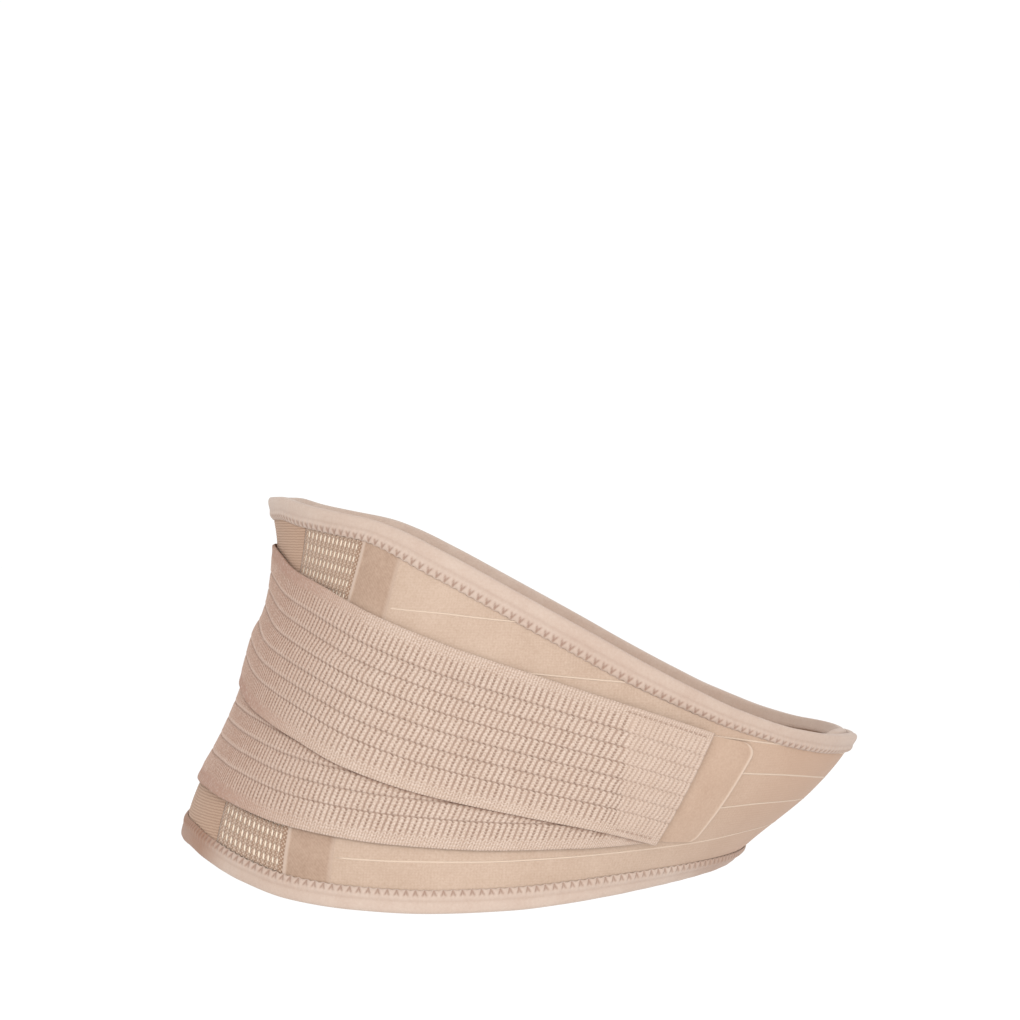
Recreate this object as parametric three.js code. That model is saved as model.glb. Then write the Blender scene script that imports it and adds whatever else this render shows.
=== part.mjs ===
// Maternity support belt in its worn round form, empty of the wearer.
// Millimetres. +Z is up, +X the wearer's front, -Y the wearer's right side.
// The origin is the middle of the hollow that the torso fills.
import * as THREE from 'three';

// The torso that the belt is shaped on.
const BACK_HEIGHT = 240;        // height of the belt at the back; height shares are taken of it
const BACK_REACH = 200;         // origin to the rearmost cloth
const FRONT_REACH = 228;        // origin to the foremost cloth
const HALF_WIDTH = 191;         // origin to the widest cloth at one side
const BACK_FULLNESS = 2.3;      // how square the rear half is, 2 for an ellipse
const FRONT_FULLNESS = 2.05;    // the same for the front half
const UPRIGHT_LEAN = 0.03;      // forward lean of the upright seams, in half turns
const HALF_ROUND = 560;         // length of half a turn round the cloth

// Cloth walls, and the room between layers.
const SKIN_GAP = 0.2;           // torso to the inner face of the panels
const PANEL_WALL = 2.0;
const MESH_WALL = 1.5;
const CASING_WALL = 2.5;
const CASING_BEAD = 0.4;        // how far the rolled edges stand above the casing
const STRAP_WALL = 1.8;
const STRAP_GROOVE = 0.8;       // depth of the grooves between the strap's bands
const TAB_WALL = 1.3;
const BINDING_WALL = 1.4;
const LAYER_GAP = 0.3;          // between pieces that are sewn or pressed together
const STRAP_GAP = 0.5;          // under a strap where it lies on its tab or on the other strap
const CURVE_GAP = 0.8;          // between other pieces that bend over each other

// Where the upright seams are, in half turns from the centre back.
const MESH_FROM = 0.262;
const CASING_FROM = 0.372;
const CASING_TO = 0.425;
const FLAP_END = 1.06;          // the right front end, past the centre front
const TUCK_END = 1.10;          // the left front end, under the right one
const TUCK_FROM = 0.81;         // where the left front starts to go under
const TUCK_FULL = 0.925;

// Edging, straps, tabs and closure.
const BINDING_HEIGHT = 12;
const END_RADIUS = 25;          // rounding of the belt's front ends
const STRAP_GROOVES = [0.2, 0.32, 0.44, 0.56, 0.68, 0.8]; // shares across a strap
const UPPER_END = { top: 0.764, bottom: 0.731 };
const LOWER_END = { top: 0.755, bottom: 0.725 };
const TAB_END = { top: 0.812, bottom: 0.784 };
const TAB_UNDER = 0.96;         // the tab starts at this share of the strap's run
const TAB_RADIUS = { top: 10, bottom: 5 }; // front corners of a tab
const CLIMB = 14;               // width over which one strap steps up onto the other
const CLIMB_CLEAR = 4;          // how far past the lower strap's edge that step begins
const HEM_STEP = 1;             // how far the edging's back leaf stops short of its front one
const BINDING_ROUND = 1.5;      // rounding of the edging's outer corner
const PAD_FROM = 0.935;
const PAD_TO = 1.025;
const PAD_HEIGHT = [0.13, 0.3];

// Net of the mesh panels.
const NET_COLUMNS = 5;
const NET_ROWS = 9;
const NET_SLOT = [3.0, 9.5];    // width and height of one gap
const NET_MARGIN = 15;          // plain net under the edging

// Torso outline at equal steps of height, from the bottom up,
// as shares of BACK_REACH, FRONT_REACH, HALF_WIDTH and BACK_REACH.
const TORSO = [
  // back, front, side, middle
  [0.995, 0.510, 1.000, -0.250],
  [1.000, 0.655, 1.000, -0.250],
  [0.958, 0.818, 0.990, -0.240],
  [0.876, 0.925, 0.974, -0.230],
  [0.811, 0.958, 0.948, -0.210],
  [0.768, 0.974, 0.911, -0.190],
  [0.724, 0.991, 0.869, -0.170],
  [0.712, 1.000, 0.822, -0.150],
  [0.732, 0.991, 0.770, -0.140],
];

// Edges as rows of half turns from the centre back and height share.
const TOP_EDGE = [
  [0.00, 1.000], [0.17, 1.000], [0.25, 0.982], [0.33, 0.959], [0.38, 0.940],
  [0.42, 0.915], [0.48, 0.864], [0.54, 0.802], [0.60, 0.738], [0.65, 0.677],
  [0.70, 0.608], [0.75, 0.533], [0.79, 0.480], [0.85, 0.428], [0.91, 0.403],
  [1.00, 0.390],
];
const BOTTOM_EDGE = [
  [0.00, 0.133], [0.17, 0.128], [0.24, 0.108], [0.32, 0.068], [0.38, 0.037],
  [0.45, 0.018], [0.52, 0.010], [0.60, 0.015], [0.65, 0.025], [0.70, 0.038],
  [0.76, 0.052], [0.85, 0.060], [1.00, 0.062],
];
const UPPER_TOP = [
  [0.00, 0.880], [0.10, 0.876], [0.17, 0.860], [0.25, 0.820], [0.33, 0.778],
  [0.42, 0.704], [0.50, 0.638], [0.60, 0.564], [0.68, 0.500], [0.764, 0.427],
];
const UPPER_BOTTOM = [
  [0.00, 0.525], [0.14, 0.510], [0.28, 0.457], [0.36, 0.408], [0.42, 0.353],
  [0.50, 0.292], [0.60, 0.238], [0.68, 0.199], [0.731, 0.170],
];
const LOWER_TOP = [
  [0.00, 0.627], [0.17, 0.620], [0.27, 0.602], [0.38, 0.560], [0.48, 0.523],
  [0.58, 0.492], [0.66, 0.462], [0.755, 0.420],
];
const LOWER_BOTTOM = [
  [0.00, 0.275], [0.17, 0.270], [0.27, 0.250], [0.38, 0.205], [0.48, 0.173],
  [0.58, 0.159], [0.66, 0.162], [0.725, 0.172],
];
const TAB_TOP = [[0.70, 0.462], [0.733, 0.440], [0.768, 0.419], [0.812, 0.394]];
const TAB_BOTTOM = [[0.70, 0.182], [0.731, 0.173], [0.754, 0.155], [0.803, 0.147]];

// Levels above the torso surface that follow from the walls.
const PANEL_TOP = SKIN_GAP + PANEL_WALL;
const CASING_TOP = CASING_WALL;
const TAB_BASE = PANEL_TOP + LAYER_GAP;
const STRAP_BASE = CASING_TOP + CASING_BEAD + CURVE_GAP;
const STRAP_ON_TAB = TAB_BASE + TAB_WALL + STRAP_GAP;
const STRAP_LIFT = STRAP_WALL + STRAP_GAP;
const BINDING_IN = SKIN_GAP - CURVE_GAP;
const BINDING_OUT = PANEL_TOP + CURVE_GAP;
const TUCK = BINDING_OUT + 2 * BINDING_WALL - BINDING_IN + CURVE_GAP;
const EDGE_INSET = BINDING_WALL + LAYER_GAP + 0.6;
const SEAM = LAYER_GAP / 2 / HALF_ROUND;

const clamp = (x, low, high) => Math.min(Math.max(x, low), high);
const mix = (a, b, t) => a + (b - a) * t;
const ease = (t) => { const x = clamp(t, 0, 1); return x * x * (3 - 2 * x); };
const steps = (count) => Array.from({ length: count + 1 }, (_, i) => i / count);

// Smooth curve through rows of [x, y], with no overshoot.
function along(rows, x) {
  const n = rows.length;
  const at = clamp(x, rows[0][0], rows[n - 1][0]);
  let i = 0;
  while (i < n - 2 && rows[i + 1][0] < at) i += 1;
  const slope = (k) => (rows[k + 1][1] - rows[k][1]) / (rows[k + 1][0] - rows[k][0]);
  const tangent = (k) => {
    if (k === 0) return slope(0);
    if (k === n - 1) return slope(n - 2);
    const [a, b] = [slope(k - 1), slope(k)];
    return a * b <= 0 ? 0 : (2 * a * b) / (a + b);
  };
  const span = rows[i + 1][0] - rows[i][0];
  const t = (at - rows[i][0]) / span;
  const [y0, y1, m0, m1] = [rows[i][1], rows[i + 1][1], tangent(i) * span, tangent(i + 1) * span];
  const [t2, t3] = [t * t, t * t * t];
  return y0 * (2 * t3 - 3 * t2 + 1) + m0 * (t3 - 2 * t2 + t)
    + y1 * (3 * t2 - 2 * t3) + m1 * (t3 - t2);
}

// One column of the torso table at a height share.
function torsoShare(column, height) {
  const last = TORSO.length - 1;
  const x = clamp(height, 0, 1) * last;
  const i = Math.min(Math.floor(x), last - 1);
  const t = x - i;
  const row = (k) => TORSO[clamp(k, 0, last)][column];
  const [p0, p1, p2, p3] = [row(i - 1), row(i), row(i + 1), row(i + 2)];
  return 0.5 * (2 * p1 + (p2 - p0) * t + (2 * p0 - 5 * p1 + 4 * p2 - p3) * t * t
    + (3 * p1 - p0 - 3 * p2 + p3) * t * t * t);
}

// Point of the torso: turn in half turns from the centre back, height as a share.
function torsoPoint(turn, height) {
  const lean = UPRIGHT_LEAN * Math.sin(Math.PI * turn) * (height - 0.5);
  const angle = Math.PI * (turn + lean);
  const [c, s] = [-Math.cos(angle), -Math.sin(angle)];
  const middle = torsoShare(3, height) * BACK_REACH;
  const reach = c < 0
    ? torsoShare(0, height) * BACK_REACH + middle
    : torsoShare(1, height) * FRONT_REACH - middle;
  const side = torsoShare(2, height) * HALF_WIDTH;
  const power = c < 0 ? BACK_FULLNESS : FRONT_FULLNESS;
  const r = (Math.abs(c / reach) ** power + Math.abs(s / side) ** power) ** (-1 / power);
  return new THREE.Vector3(middle + r * c, r * s, (height - 0.5) * BACK_HEIGHT);
}

function torsoNormal(turn, height) {
  const d = 0.002;
  const around = torsoPoint(turn + d, height).sub(torsoPoint(turn - d, height));
  const up = torsoPoint(turn, height + d).sub(torsoPoint(turn, height - d));
  return around.cross(up).normalize();
}

// How far the left front end goes in under the right one.
function tuckAt(turn) {
  return TUCK * ease((-turn - TUCK_FROM) / (TUCK_FULL - TUCK_FROM));
}

function lift(turn, height, level) {
  const n = torsoNormal(turn, height);
  return torsoPoint(turn, height).addScaledVector(n, level - tuckAt(turn));
}

// Height share of an edge table; past the centre front it runs back again.
function edgeAt(rows, turn) {
  const t = Math.abs(turn);
  return along(rows, t > 1 ? 2 - t : t);
}

function meshOf(name, colour, points, faces) {
  const geometry = new THREE.BufferGeometry();
  const flat = points.flatMap((p) => [p.x, p.y, p.z]);
  geometry.setAttribute('position', new THREE.Float32BufferAttribute(flat, 3));
  geometry.setIndex(faces);
  geometry.computeVertexNormals();
  const material = new THREE.MeshStandardMaterial({ color: colour, roughness: 0.9 });
  material.name = name;
  const mesh = new THREE.Mesh(geometry, material);
  mesh.name = name;
  return mesh;
}

// Closed cloth wall over a grid. place(u, v) gives [turn, height]; low and high give
// its levels; side is 1 for the wearer's right and -1 for the left; open(i, j) is a gap.
function cloth(name, colour, us, vs, spec) {
  const { place, low, high, side = 1, open = () => false } = spec;
  const points = [];
  const seen = new Map();
  const vertex = (i, j, top) => {
    const key = `${i},${j},${top}`;
    if (!seen.has(key)) {
      const [turn, height] = place(us[i], vs[j]);
      const level = (top ? high : low)(us[i], vs[j]);
      points.push(lift(turn * side, height, level));
      seen.set(key, points.length - 1);
    }
    return seen.get(key);
  };
  const faces = [];
  const quad = (a, b, c, d) => {
    if (side > 0) faces.push(a, b, c, a, c, d);
    else faces.push(a, c, b, a, d, c);
  };
  const [columns, rows] = [us.length - 1, vs.length - 1];
  const solid = (i, j) => i >= 0 && j >= 0 && i < columns && j < rows && !open(i, j);
  const wall = (i0, j0, i1, j1) => quad(
    vertex(i0, j0, false), vertex(i1, j1, false), vertex(i1, j1, true), vertex(i0, j0, true));
  for (let i = 0; i < columns; i += 1) {
    for (let j = 0; j < rows; j += 1) {
      if (!solid(i, j)) continue;
      const corners = [[i, j], [i + 1, j], [i + 1, j + 1], [i, j + 1]];
      quad(...corners.map(([a, b]) => vertex(a, b, true)));
      quad(...corners.reverse().map(([a, b]) => vertex(a, b, false)));
      if (!solid(i, j - 1)) wall(i, j, i + 1, j);
      if (!solid(i + 1, j)) wall(i + 1, j, i + 1, j + 1);
      if (!solid(i, j + 1)) wall(i + 1, j + 1, i, j + 1);
      if (!solid(i - 1, j)) wall(i, j + 1, i, j);
    }
  }
  return meshOf(name, colour, points, faces);
}

// Closed body through rings of equal length, with caps cut from the flat profile.
function sweep(name, colour, rings, profiles) {
  const size = rings[0].length;
  const points = rings.flat();
  const faces = [];
  for (let i = 0; i + 1 < rings.length; i += 1) {
    for (let k = 0; k < size; k += 1) {
      const next = (k + 1) % size;
      const [a, b] = [i * size + k, i * size + next];
      faces.push(a, b, b + size, a, b + size, a + size);
    }
  }
  const last = (rings.length - 1) * size;
  const flat = (profile) => profile.map(([x, y]) => new THREE.Vector2(x, y));
  for (const [a, b, c] of THREE.ShapeUtils.triangulateShape(flat(profiles[0]), [])) {
    faces.push(a, c, b);
  }
  for (const [a, b, c] of THREE.ShapeUtils.triangulateShape(flat(profiles.at(-1)), [])) {
    faces.push(last + a, last + b, last + c);
  }
  return meshOf(name, colour, points, faces);
}

// Rows between the two edges of the belt, kept inside the folded edging.
function betweenEdges(turn, v) {
  const inset = EDGE_INSET / BACK_HEIGHT;
  return mix(edgeAt(BOTTOM_EDGE, turn) + inset, edgeAt(TOP_EDGE, turn) - inset, v);
}

function plainPanel(name, colour, from, to, columns, rows, levels, side = 1) {
  return cloth(name, colour, steps(columns), steps(rows), {
    side,
    place: (u, v) => { const t = mix(from, to, u); return [t, betweenEdges(t, v)]; },
    low: () => levels[0],
    high: () => levels[1],
  });
}

function backPanel() {
  const reach = MESH_FROM - SEAM;
  return plainPanel('back_panel', '#bb9c85', -reach, reach, 13, 11, [SKIN_GAP, PANEL_TOP]);
}

// Net panel: every second cell of the grid inside the margins is a gap.
function meshPanel(name, side) {
  const width = (CASING_FROM - MESH_FROM) * HALF_ROUND;
  const [slotWide, slotTall] = NET_SLOT;
  const pitch = width / (NET_COLUMNS + 0.4);
  const us = [0];
  for (let i = 0; i < NET_COLUMNS; i += 1) {
    const middle = (i + 0.7) * pitch;
    us.push((middle - slotWide / 2) / width, (middle + slotWide / 2) / width);
  }
  us.push(1);
  const tall = (edgeAt(TOP_EDGE, 0.32) - edgeAt(BOTTOM_EDGE, 0.32)) * BACK_HEIGHT;
  const reach = tall - 2 * NET_MARGIN;
  const vs = [0];
  for (let j = 0; j < NET_ROWS; j += 1) {
    const middle = NET_MARGIN + (j + 0.5) * (reach / NET_ROWS);
    vs.push((middle - slotTall / 2) / tall, (middle + slotTall / 2) / tall);
  }
  vs.push(1);
  return cloth(name, '#c6aa95', us, vs, {
    side,
    place: (u, v) => {
      const t = mix(MESH_FROM + SEAM, CASING_FROM - SEAM, u);
      return [t, betweenEdges(t, v)];
    },
    low: () => PANEL_TOP - MESH_WALL,
    high: () => PANEL_TOP,
    open: (i, j) => i % 2 === 1 && j % 2 === 1,
  });
}

// Upright tape with rolled edges; it is pressed flat under the edging.
function stayCasing(name, side) {
  const tall = BACK_HEIGHT * 0.8;
  const flat = NET_MARGIN / tall;
  const vs = [0, flat * 0.7, flat, ...steps(7).slice(1, -1), 1 - flat, 1 - flat * 0.7, 1];
  const bead = 0.07;
  return cloth(name, '#c7a893', [0, bead, 2 * bead, 0.5, 1 - 2 * bead, 1 - bead, 1], vs, {
    side,
    place: (u, v) => {
      const t = mix(CASING_FROM + SEAM, CASING_TO - SEAM, u);
      return [t, betweenEdges(t, v)];
    },
    low: () => 0,
    high: (u, v) => {
      if (Math.min(v, 1 - v) < flat * 0.8) return PANEL_TOP;
      const rolled = u > 0.01 && u < bead * 1.5;
      const rolledToo = u < 0.99 && u > 1 - bead * 1.5;
      return CASING_TOP + (rolled || rolledToo ? CASING_BEAD : 0);
    },
  });
}

// Distance that a row keeps back from the front end, so that the end is round.
function cornerBack(distance, radius) {
  const x = 1 - clamp(distance / radius, 0, 1);
  return radius * (1 - Math.sqrt(1 - x * x));
}

function frontPanel(name, side, end) {
  const inner = end - EDGE_INSET / HALF_ROUND;
  const straight = inner - END_RADIUS / HALF_ROUND;
  const tall = (edgeAt(TOP_EDGE, end) - edgeAt(BOTTOM_EDGE, end)) * BACK_HEIGHT;
  const columns = Math.round((straight - CASING_TO) * 29);
  const us = steps(columns + 3);
  const last = us[columns];
  return cloth(name, '#dcbfa6', us, [0, 0.06, 0.18, 0.34, 0.5, 0.66, 0.82, 0.94, 1], {
    side,
    place: (u, v) => {
      const kept = cornerBack(Math.min(v, 1 - v) * tall, END_RADIUS) / HALF_ROUND;
      const back = Math.min(kept, 0.86 * (inner - straight));
      const t = u <= last
        ? mix(CASING_TO + SEAM, straight, u / last)
        : mix(straight, inner - back, (u - last) / (1 - last));
      return [t, betweenEdges(t, v)];
    },
    low: () => SKIN_GAP,
    high: () => PANEL_TOP,
  });
}

// Path of one long edge with its two rounded ends, from end middle to end middle.
// It runs toward the right end along the top and toward the left end along the bottom.
function edgePath(top) {
  const rows = top ? TOP_EDGE : BOTTOM_EDGE;
  const radius = [END_RADIUS / HALF_ROUND, END_RADIUS / BACK_HEIGHT];
  const inward = top ? -1 : 1;
  const corner = (end) => {
    const sign = Math.sign(end);
    const middle = (edgeAt(TOP_EDGE, end) + edgeAt(BOTTOM_EDGE, end)) / 2;
    const arc = steps(5).slice(1).map((q) => {
      const angle = q * Math.PI / 2;
      const turn = end - sign * radius[0] * (1 - Math.sin(angle));
      return [turn, edgeAt(rows, turn) + inward * radius[1] * (1 - Math.cos(angle))];
    });
    return [...arc, [end, middle - inward * LAYER_GAP / BACK_HEIGHT]];
  };
  const from = -TUCK_END + radius[0];
  const to = FLAP_END - radius[0];
  const run = steps(58).map((q) => {
    const turn = mix(from, to, q);
    return [turn, edgeAt(rows, turn)];
  });
  const path = [...corner(-TUCK_END).reverse(), ...run, ...corner(FLAP_END)];
  return top ? path : path.reverse();
}

// Change of turn and height share for one millimetre square to a path, on the cloth.
function outwardStep(turn, height, tangent) {
  const d = 0.002;
  const around = torsoPoint(turn + d, height).sub(torsoPoint(turn - d, height))
    .divideScalar(2 * d);
  const up = torsoPoint(turn, height + d).sub(torsoPoint(turn, height - d))
    .divideScalar(2 * d);
  const outward = torsoNormal(turn, height).cross(tangent).normalize();
  const [aa, ab, bb] = [around.dot(around), around.dot(up), up.dot(up)];
  const [ra, rb] = [around.dot(outward), up.dot(outward)];
  const scale = aa * bb - ab * ab;
  return [(ra * bb - rb * ab) / scale, (rb * aa - ra * ab) / scale];
}

// Folded edging: a U that grips the edge, swept along the path.
function binding(name, top) {
  const [out, inn, wall] = [BINDING_OUT, BINDING_IN, BINDING_WALL];
  const profile = [
    [-BINDING_HEIGHT, out], [-wall, out], [-wall, inn], [-BINDING_HEIGHT + HEM_STEP, inn],
    [-BINDING_HEIGHT + HEM_STEP, inn - wall], [0, inn - wall], [0, out + wall * 0.2],
    [-BINDING_ROUND, out + wall], [-BINDING_HEIGHT, out + wall * 0.9],
  ];
  const path = edgePath(top);
  const rings = path.map(([turn, height], i) => {
    const [before, after] = [path[Math.max(i - 1, 0)], path[Math.min(i + 1, path.length - 1)]];
    const tangent = lift(...after, 0).sub(lift(...before, 0)).normalize();
    const [across, rise] = outwardStep(turn, height, tangent);
    return profile.map(([b, n]) => lift(turn + b * across, height + b * rise, n));
  });
  return sweep(name, '#dfc6b4', rings, [profile, profile]);
}

// Place on a strap: run from -1 at the left end to 1 at the right, v up across it.
function strapPlace(strap, run, v) {
  const { top, bottom, end } = strap;
  const [high, low] = [run * end.top, run * end.bottom];
  return [mix(low, high, v), mix(edgeAt(bottom, low), edgeAt(top, high), v)];
}

const UPPER = { top: UPPER_TOP, bottom: UPPER_BOTTOM, end: UPPER_END };
const LOWER = { top: LOWER_TOP, bottom: LOWER_BOTTOM, end: LOWER_END };

// Level of a strap's underside: on the panels, up on the tab, and up on the other strap.
function strapLevel(strap, run, v) {
  const onTab = ease((Math.abs(run) - 0.88) / 0.05) * (STRAP_ON_TAB - STRAP_BASE);
  if (strap === LOWER) return STRAP_BASE + onTab;
  const [turn, height] = strapPlace(strap, run, v);
  const clear = (height - edgeAt(LOWER_TOP, turn)) * BACK_HEIGHT;
  return STRAP_BASE + onTab + STRAP_LIFT * (1 - ease((clear - CLIMB_CLEAR) / CLIMB));
}

// Elastic band with bands and grooves along it; plainFrom is where the bands stop.
function elasticStrap(name, strap, plainFrom) {
  const outer = [[0, STRAP_WALL * 0.75]];
  const stops = [0, ...STRAP_GROOVES, 1];
  for (let k = 0; k < stops.length - 1; k += 1) {
    if (stops[k] > plainFrom) break;
    outer.push([(stops[k] + stops[k + 1]) / 2, STRAP_WALL]);
    if (k < STRAP_GROOVES.length) outer.push([stops[k + 1], STRAP_WALL - STRAP_GROOVE]);
  }
  outer.push([1, STRAP_WALL * 0.75]);
  const under = steps(7).map((v) => [v, 0]);
  const section = [...under, ...outer.reverse()];
  const runs = steps(42).map((q) => {
    const x = 2 * q - 1;
    return Math.sign(x) * (1 - (1 - Math.abs(x)) ** 1.08);
  });
  const rings = runs.map((run) => section.map(([v, n]) => {
    const [turn, height] = strapPlace(strap, run, v);
    return lift(turn, height, strapLevel(strap, run, v) + n);
  }));
  const flat = section.map(([v, n]) => [v * 84, n]);
  return sweep(name, '#d6bcac', rings, [flat, flat]);
}

// Smooth end piece under the sewn ends of the two straps, with rounded front corners.
function strapTab(name, side) {
  const tall = 0.26 * BACK_HEIGHT;
  const vs = [0, 0.03, 0.08, 0.2, 0.4, 0.6, 0.8, 0.92, 0.97, 1];
  return cloth(name, '#d8b8a0', steps(5), vs, {
    side,
    place: (u, v) => {
      const radius = v > 0.5 ? TAB_RADIUS.top : TAB_RADIUS.bottom;
      const back = cornerBack(Math.min(v, 1 - v) * tall, radius) / HALF_ROUND;
      const start = mix(UPPER_END.bottom, UPPER_END.top, v) * TAB_UNDER;
      const t = mix(start, mix(TAB_END.bottom, TAB_END.top, v) - back, u);
      return [t, mix(edgeAt(TAB_BOTTOM, t), edgeAt(TAB_TOP, t), v)];
    },
    low: () => TAB_BASE,
    high: () => TAB_BASE + TAB_WALL,
  });
}

// Fastening between the right front end and the left one under it.
function closurePad() {
  const [low, high] = [PANEL_TOP - TUCK + CURVE_GAP, SKIN_GAP - CURVE_GAP];
  return cloth('closure_pad', '#cdb09a', steps(4), steps(4), {
    place: (u, v) => [mix(PAD_FROM, PAD_TO, u), mix(...PAD_HEIGHT, v)],
    low: () => low,
    high: () => high,
  });
}

const group = new THREE.Group();
group.name = 'maternity_support_belt';
group.add(
  backPanel(),
  meshPanel('mesh_panel_right', 1),
  meshPanel('mesh_panel_left', -1),
  stayCasing('stay_casing_right', 1),
  stayCasing('stay_casing_left', -1),
  frontPanel('front_panel_right', 1, FLAP_END),
  frontPanel('front_panel_left', -1, TUCK_END),
  binding('top_binding', true),
  binding('bottom_binding', false),
  elasticStrap('upper_strap', UPPER, 1),
  elasticStrap('lower_strap', LOWER, 0.6),
  strapTab('strap_tab_right', 1),
  strapTab('strap_tab_left', -1),
  closurePad(),
);

export default group;
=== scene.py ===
"""Maternity support belt: the dressed model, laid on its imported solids.

Lengths are millimetres until a mesh is made. The axes are the part's own:
+Z up, +X to the wearer's front, -Y to the wearer's right side.
"""

import logging
import math
from dataclasses import dataclass, field, replace
from enum import Enum
from typing import Sequence

import bpy
import numpy as np
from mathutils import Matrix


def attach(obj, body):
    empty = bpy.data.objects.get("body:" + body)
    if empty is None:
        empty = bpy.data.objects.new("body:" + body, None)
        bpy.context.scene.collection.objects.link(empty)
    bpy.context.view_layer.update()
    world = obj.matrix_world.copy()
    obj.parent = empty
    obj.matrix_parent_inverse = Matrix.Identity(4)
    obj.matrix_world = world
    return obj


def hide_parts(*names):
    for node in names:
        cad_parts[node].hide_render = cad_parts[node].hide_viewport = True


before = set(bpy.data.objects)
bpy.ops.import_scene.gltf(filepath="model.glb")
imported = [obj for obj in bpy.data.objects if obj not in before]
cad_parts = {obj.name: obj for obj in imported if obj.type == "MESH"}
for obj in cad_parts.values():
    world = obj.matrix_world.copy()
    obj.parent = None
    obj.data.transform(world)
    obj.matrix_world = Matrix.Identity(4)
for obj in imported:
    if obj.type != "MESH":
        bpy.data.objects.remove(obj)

log = logging.getLogger("support_belt")

MM = 0.001
Rows = tuple[tuple[float, float], ...]
Grid = np.ndarray


def ease(share: Grid) -> Grid:
    """Smooth step from 0 to 1."""
    x = np.clip(share, 0.0, 1.0)
    return x * x * (3.0 - 2.0 * x)


def mix(low: Grid, high: Grid, share: Grid) -> Grid:
    """Straight blend of two values."""
    return low + (high - low) * share


def along(rows: Rows, at: Grid) -> Grid:
    """Smooth curve through rows of x and y, with no overshoot.

    Args:
        rows: Pairs of x and y, x rising.
        at: Where the curve is wanted.

    Returns:
        The curve's values.
    """
    xs, ys = np.array(rows, float).T
    slope = np.diff(ys) / np.diff(xs)
    tangent = np.empty_like(xs)
    tangent[0], tangent[-1] = slope[0], slope[-1]
    a, b = slope[:-1], slope[1:]
    total = np.where(np.abs(a + b) < 1e-12, 1.0, a + b)
    tangent[1:-1] = np.where(a * b <= 0, 0.0, 2 * a * b / total)
    x = np.clip(at, xs[0], xs[-1])
    i = np.clip(np.searchsorted(xs, x, side="left") - 1, 0, len(xs) - 2)
    span = xs[i + 1] - xs[i]
    t = (x - xs[i]) / span
    t2, t3 = t * t, t * t * t
    return (ys[i] * (2 * t3 - 3 * t2 + 1) + tangent[i] * span * (t3 - 2 * t2 + t)
            + ys[i + 1] * (3 * t2 - 2 * t3) + tangent[i + 1] * span * (t3 - t2))


def unit(vectors: Grid) -> Grid:
    """Vectors brought to length 1."""
    return vectors / np.linalg.norm(vectors, axis=-1, keepdims=True)


def travel(points: Grid) -> Grid:
    """Length along a path at each of its points."""
    return np.concatenate([[0], np.cumsum(np.linalg.norm(np.diff(points, axis=0), axis=-1))])


def bump(distance: Grid, width: float) -> Grid:
    """1 at distance 0, fading to 0 over a width."""
    return np.exp(-(distance / width) ** 2)


def pairs(first: Grid, second: Grid) -> Sequence[Grid]:
    """Every value of the first along one axis, with every one of the second."""
    return np.meshgrid(first, second, indexing="ij")


def nearer(share: Grid) -> Grid:
    """Distance to the nearer of 0 and 1."""
    return np.minimum(share, 1 - share)


def crowded(count: int) -> Grid:
    """Shares from 0 to 1 that lie closer together at both ends."""
    return 0.5 - 0.5 * np.cos(np.pi * np.linspace(0, 1, count))


def rounded(v: Grid, tall: float, radius: Grid) -> tuple[Grid, Grid]:
    """Rounded corners of an end.

    Args:
        v: Share up the end.
        tall: Height of the end.
        radius: Radius of its corners.

    Returns:
        How far into a corner each place is, and how far back the end lies there.
    """
    x = 1 - np.clip(nearer(v) * tall / radius, 0, 1)
    return x, radius * (1 - np.sqrt(1 - x * x))


class Side(Enum):
    """Side of the wearer, as the sign of the turn."""

    RIGHT = 1
    LEFT = -1

    @property
    def word(self) -> str:
        """The side as it stands in the pieces' names."""
        return self.name.lower()

    @property
    def mirrored(self) -> bool:
        """Whether the side is laid out the other way round."""
        return self is Side.LEFT


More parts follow.
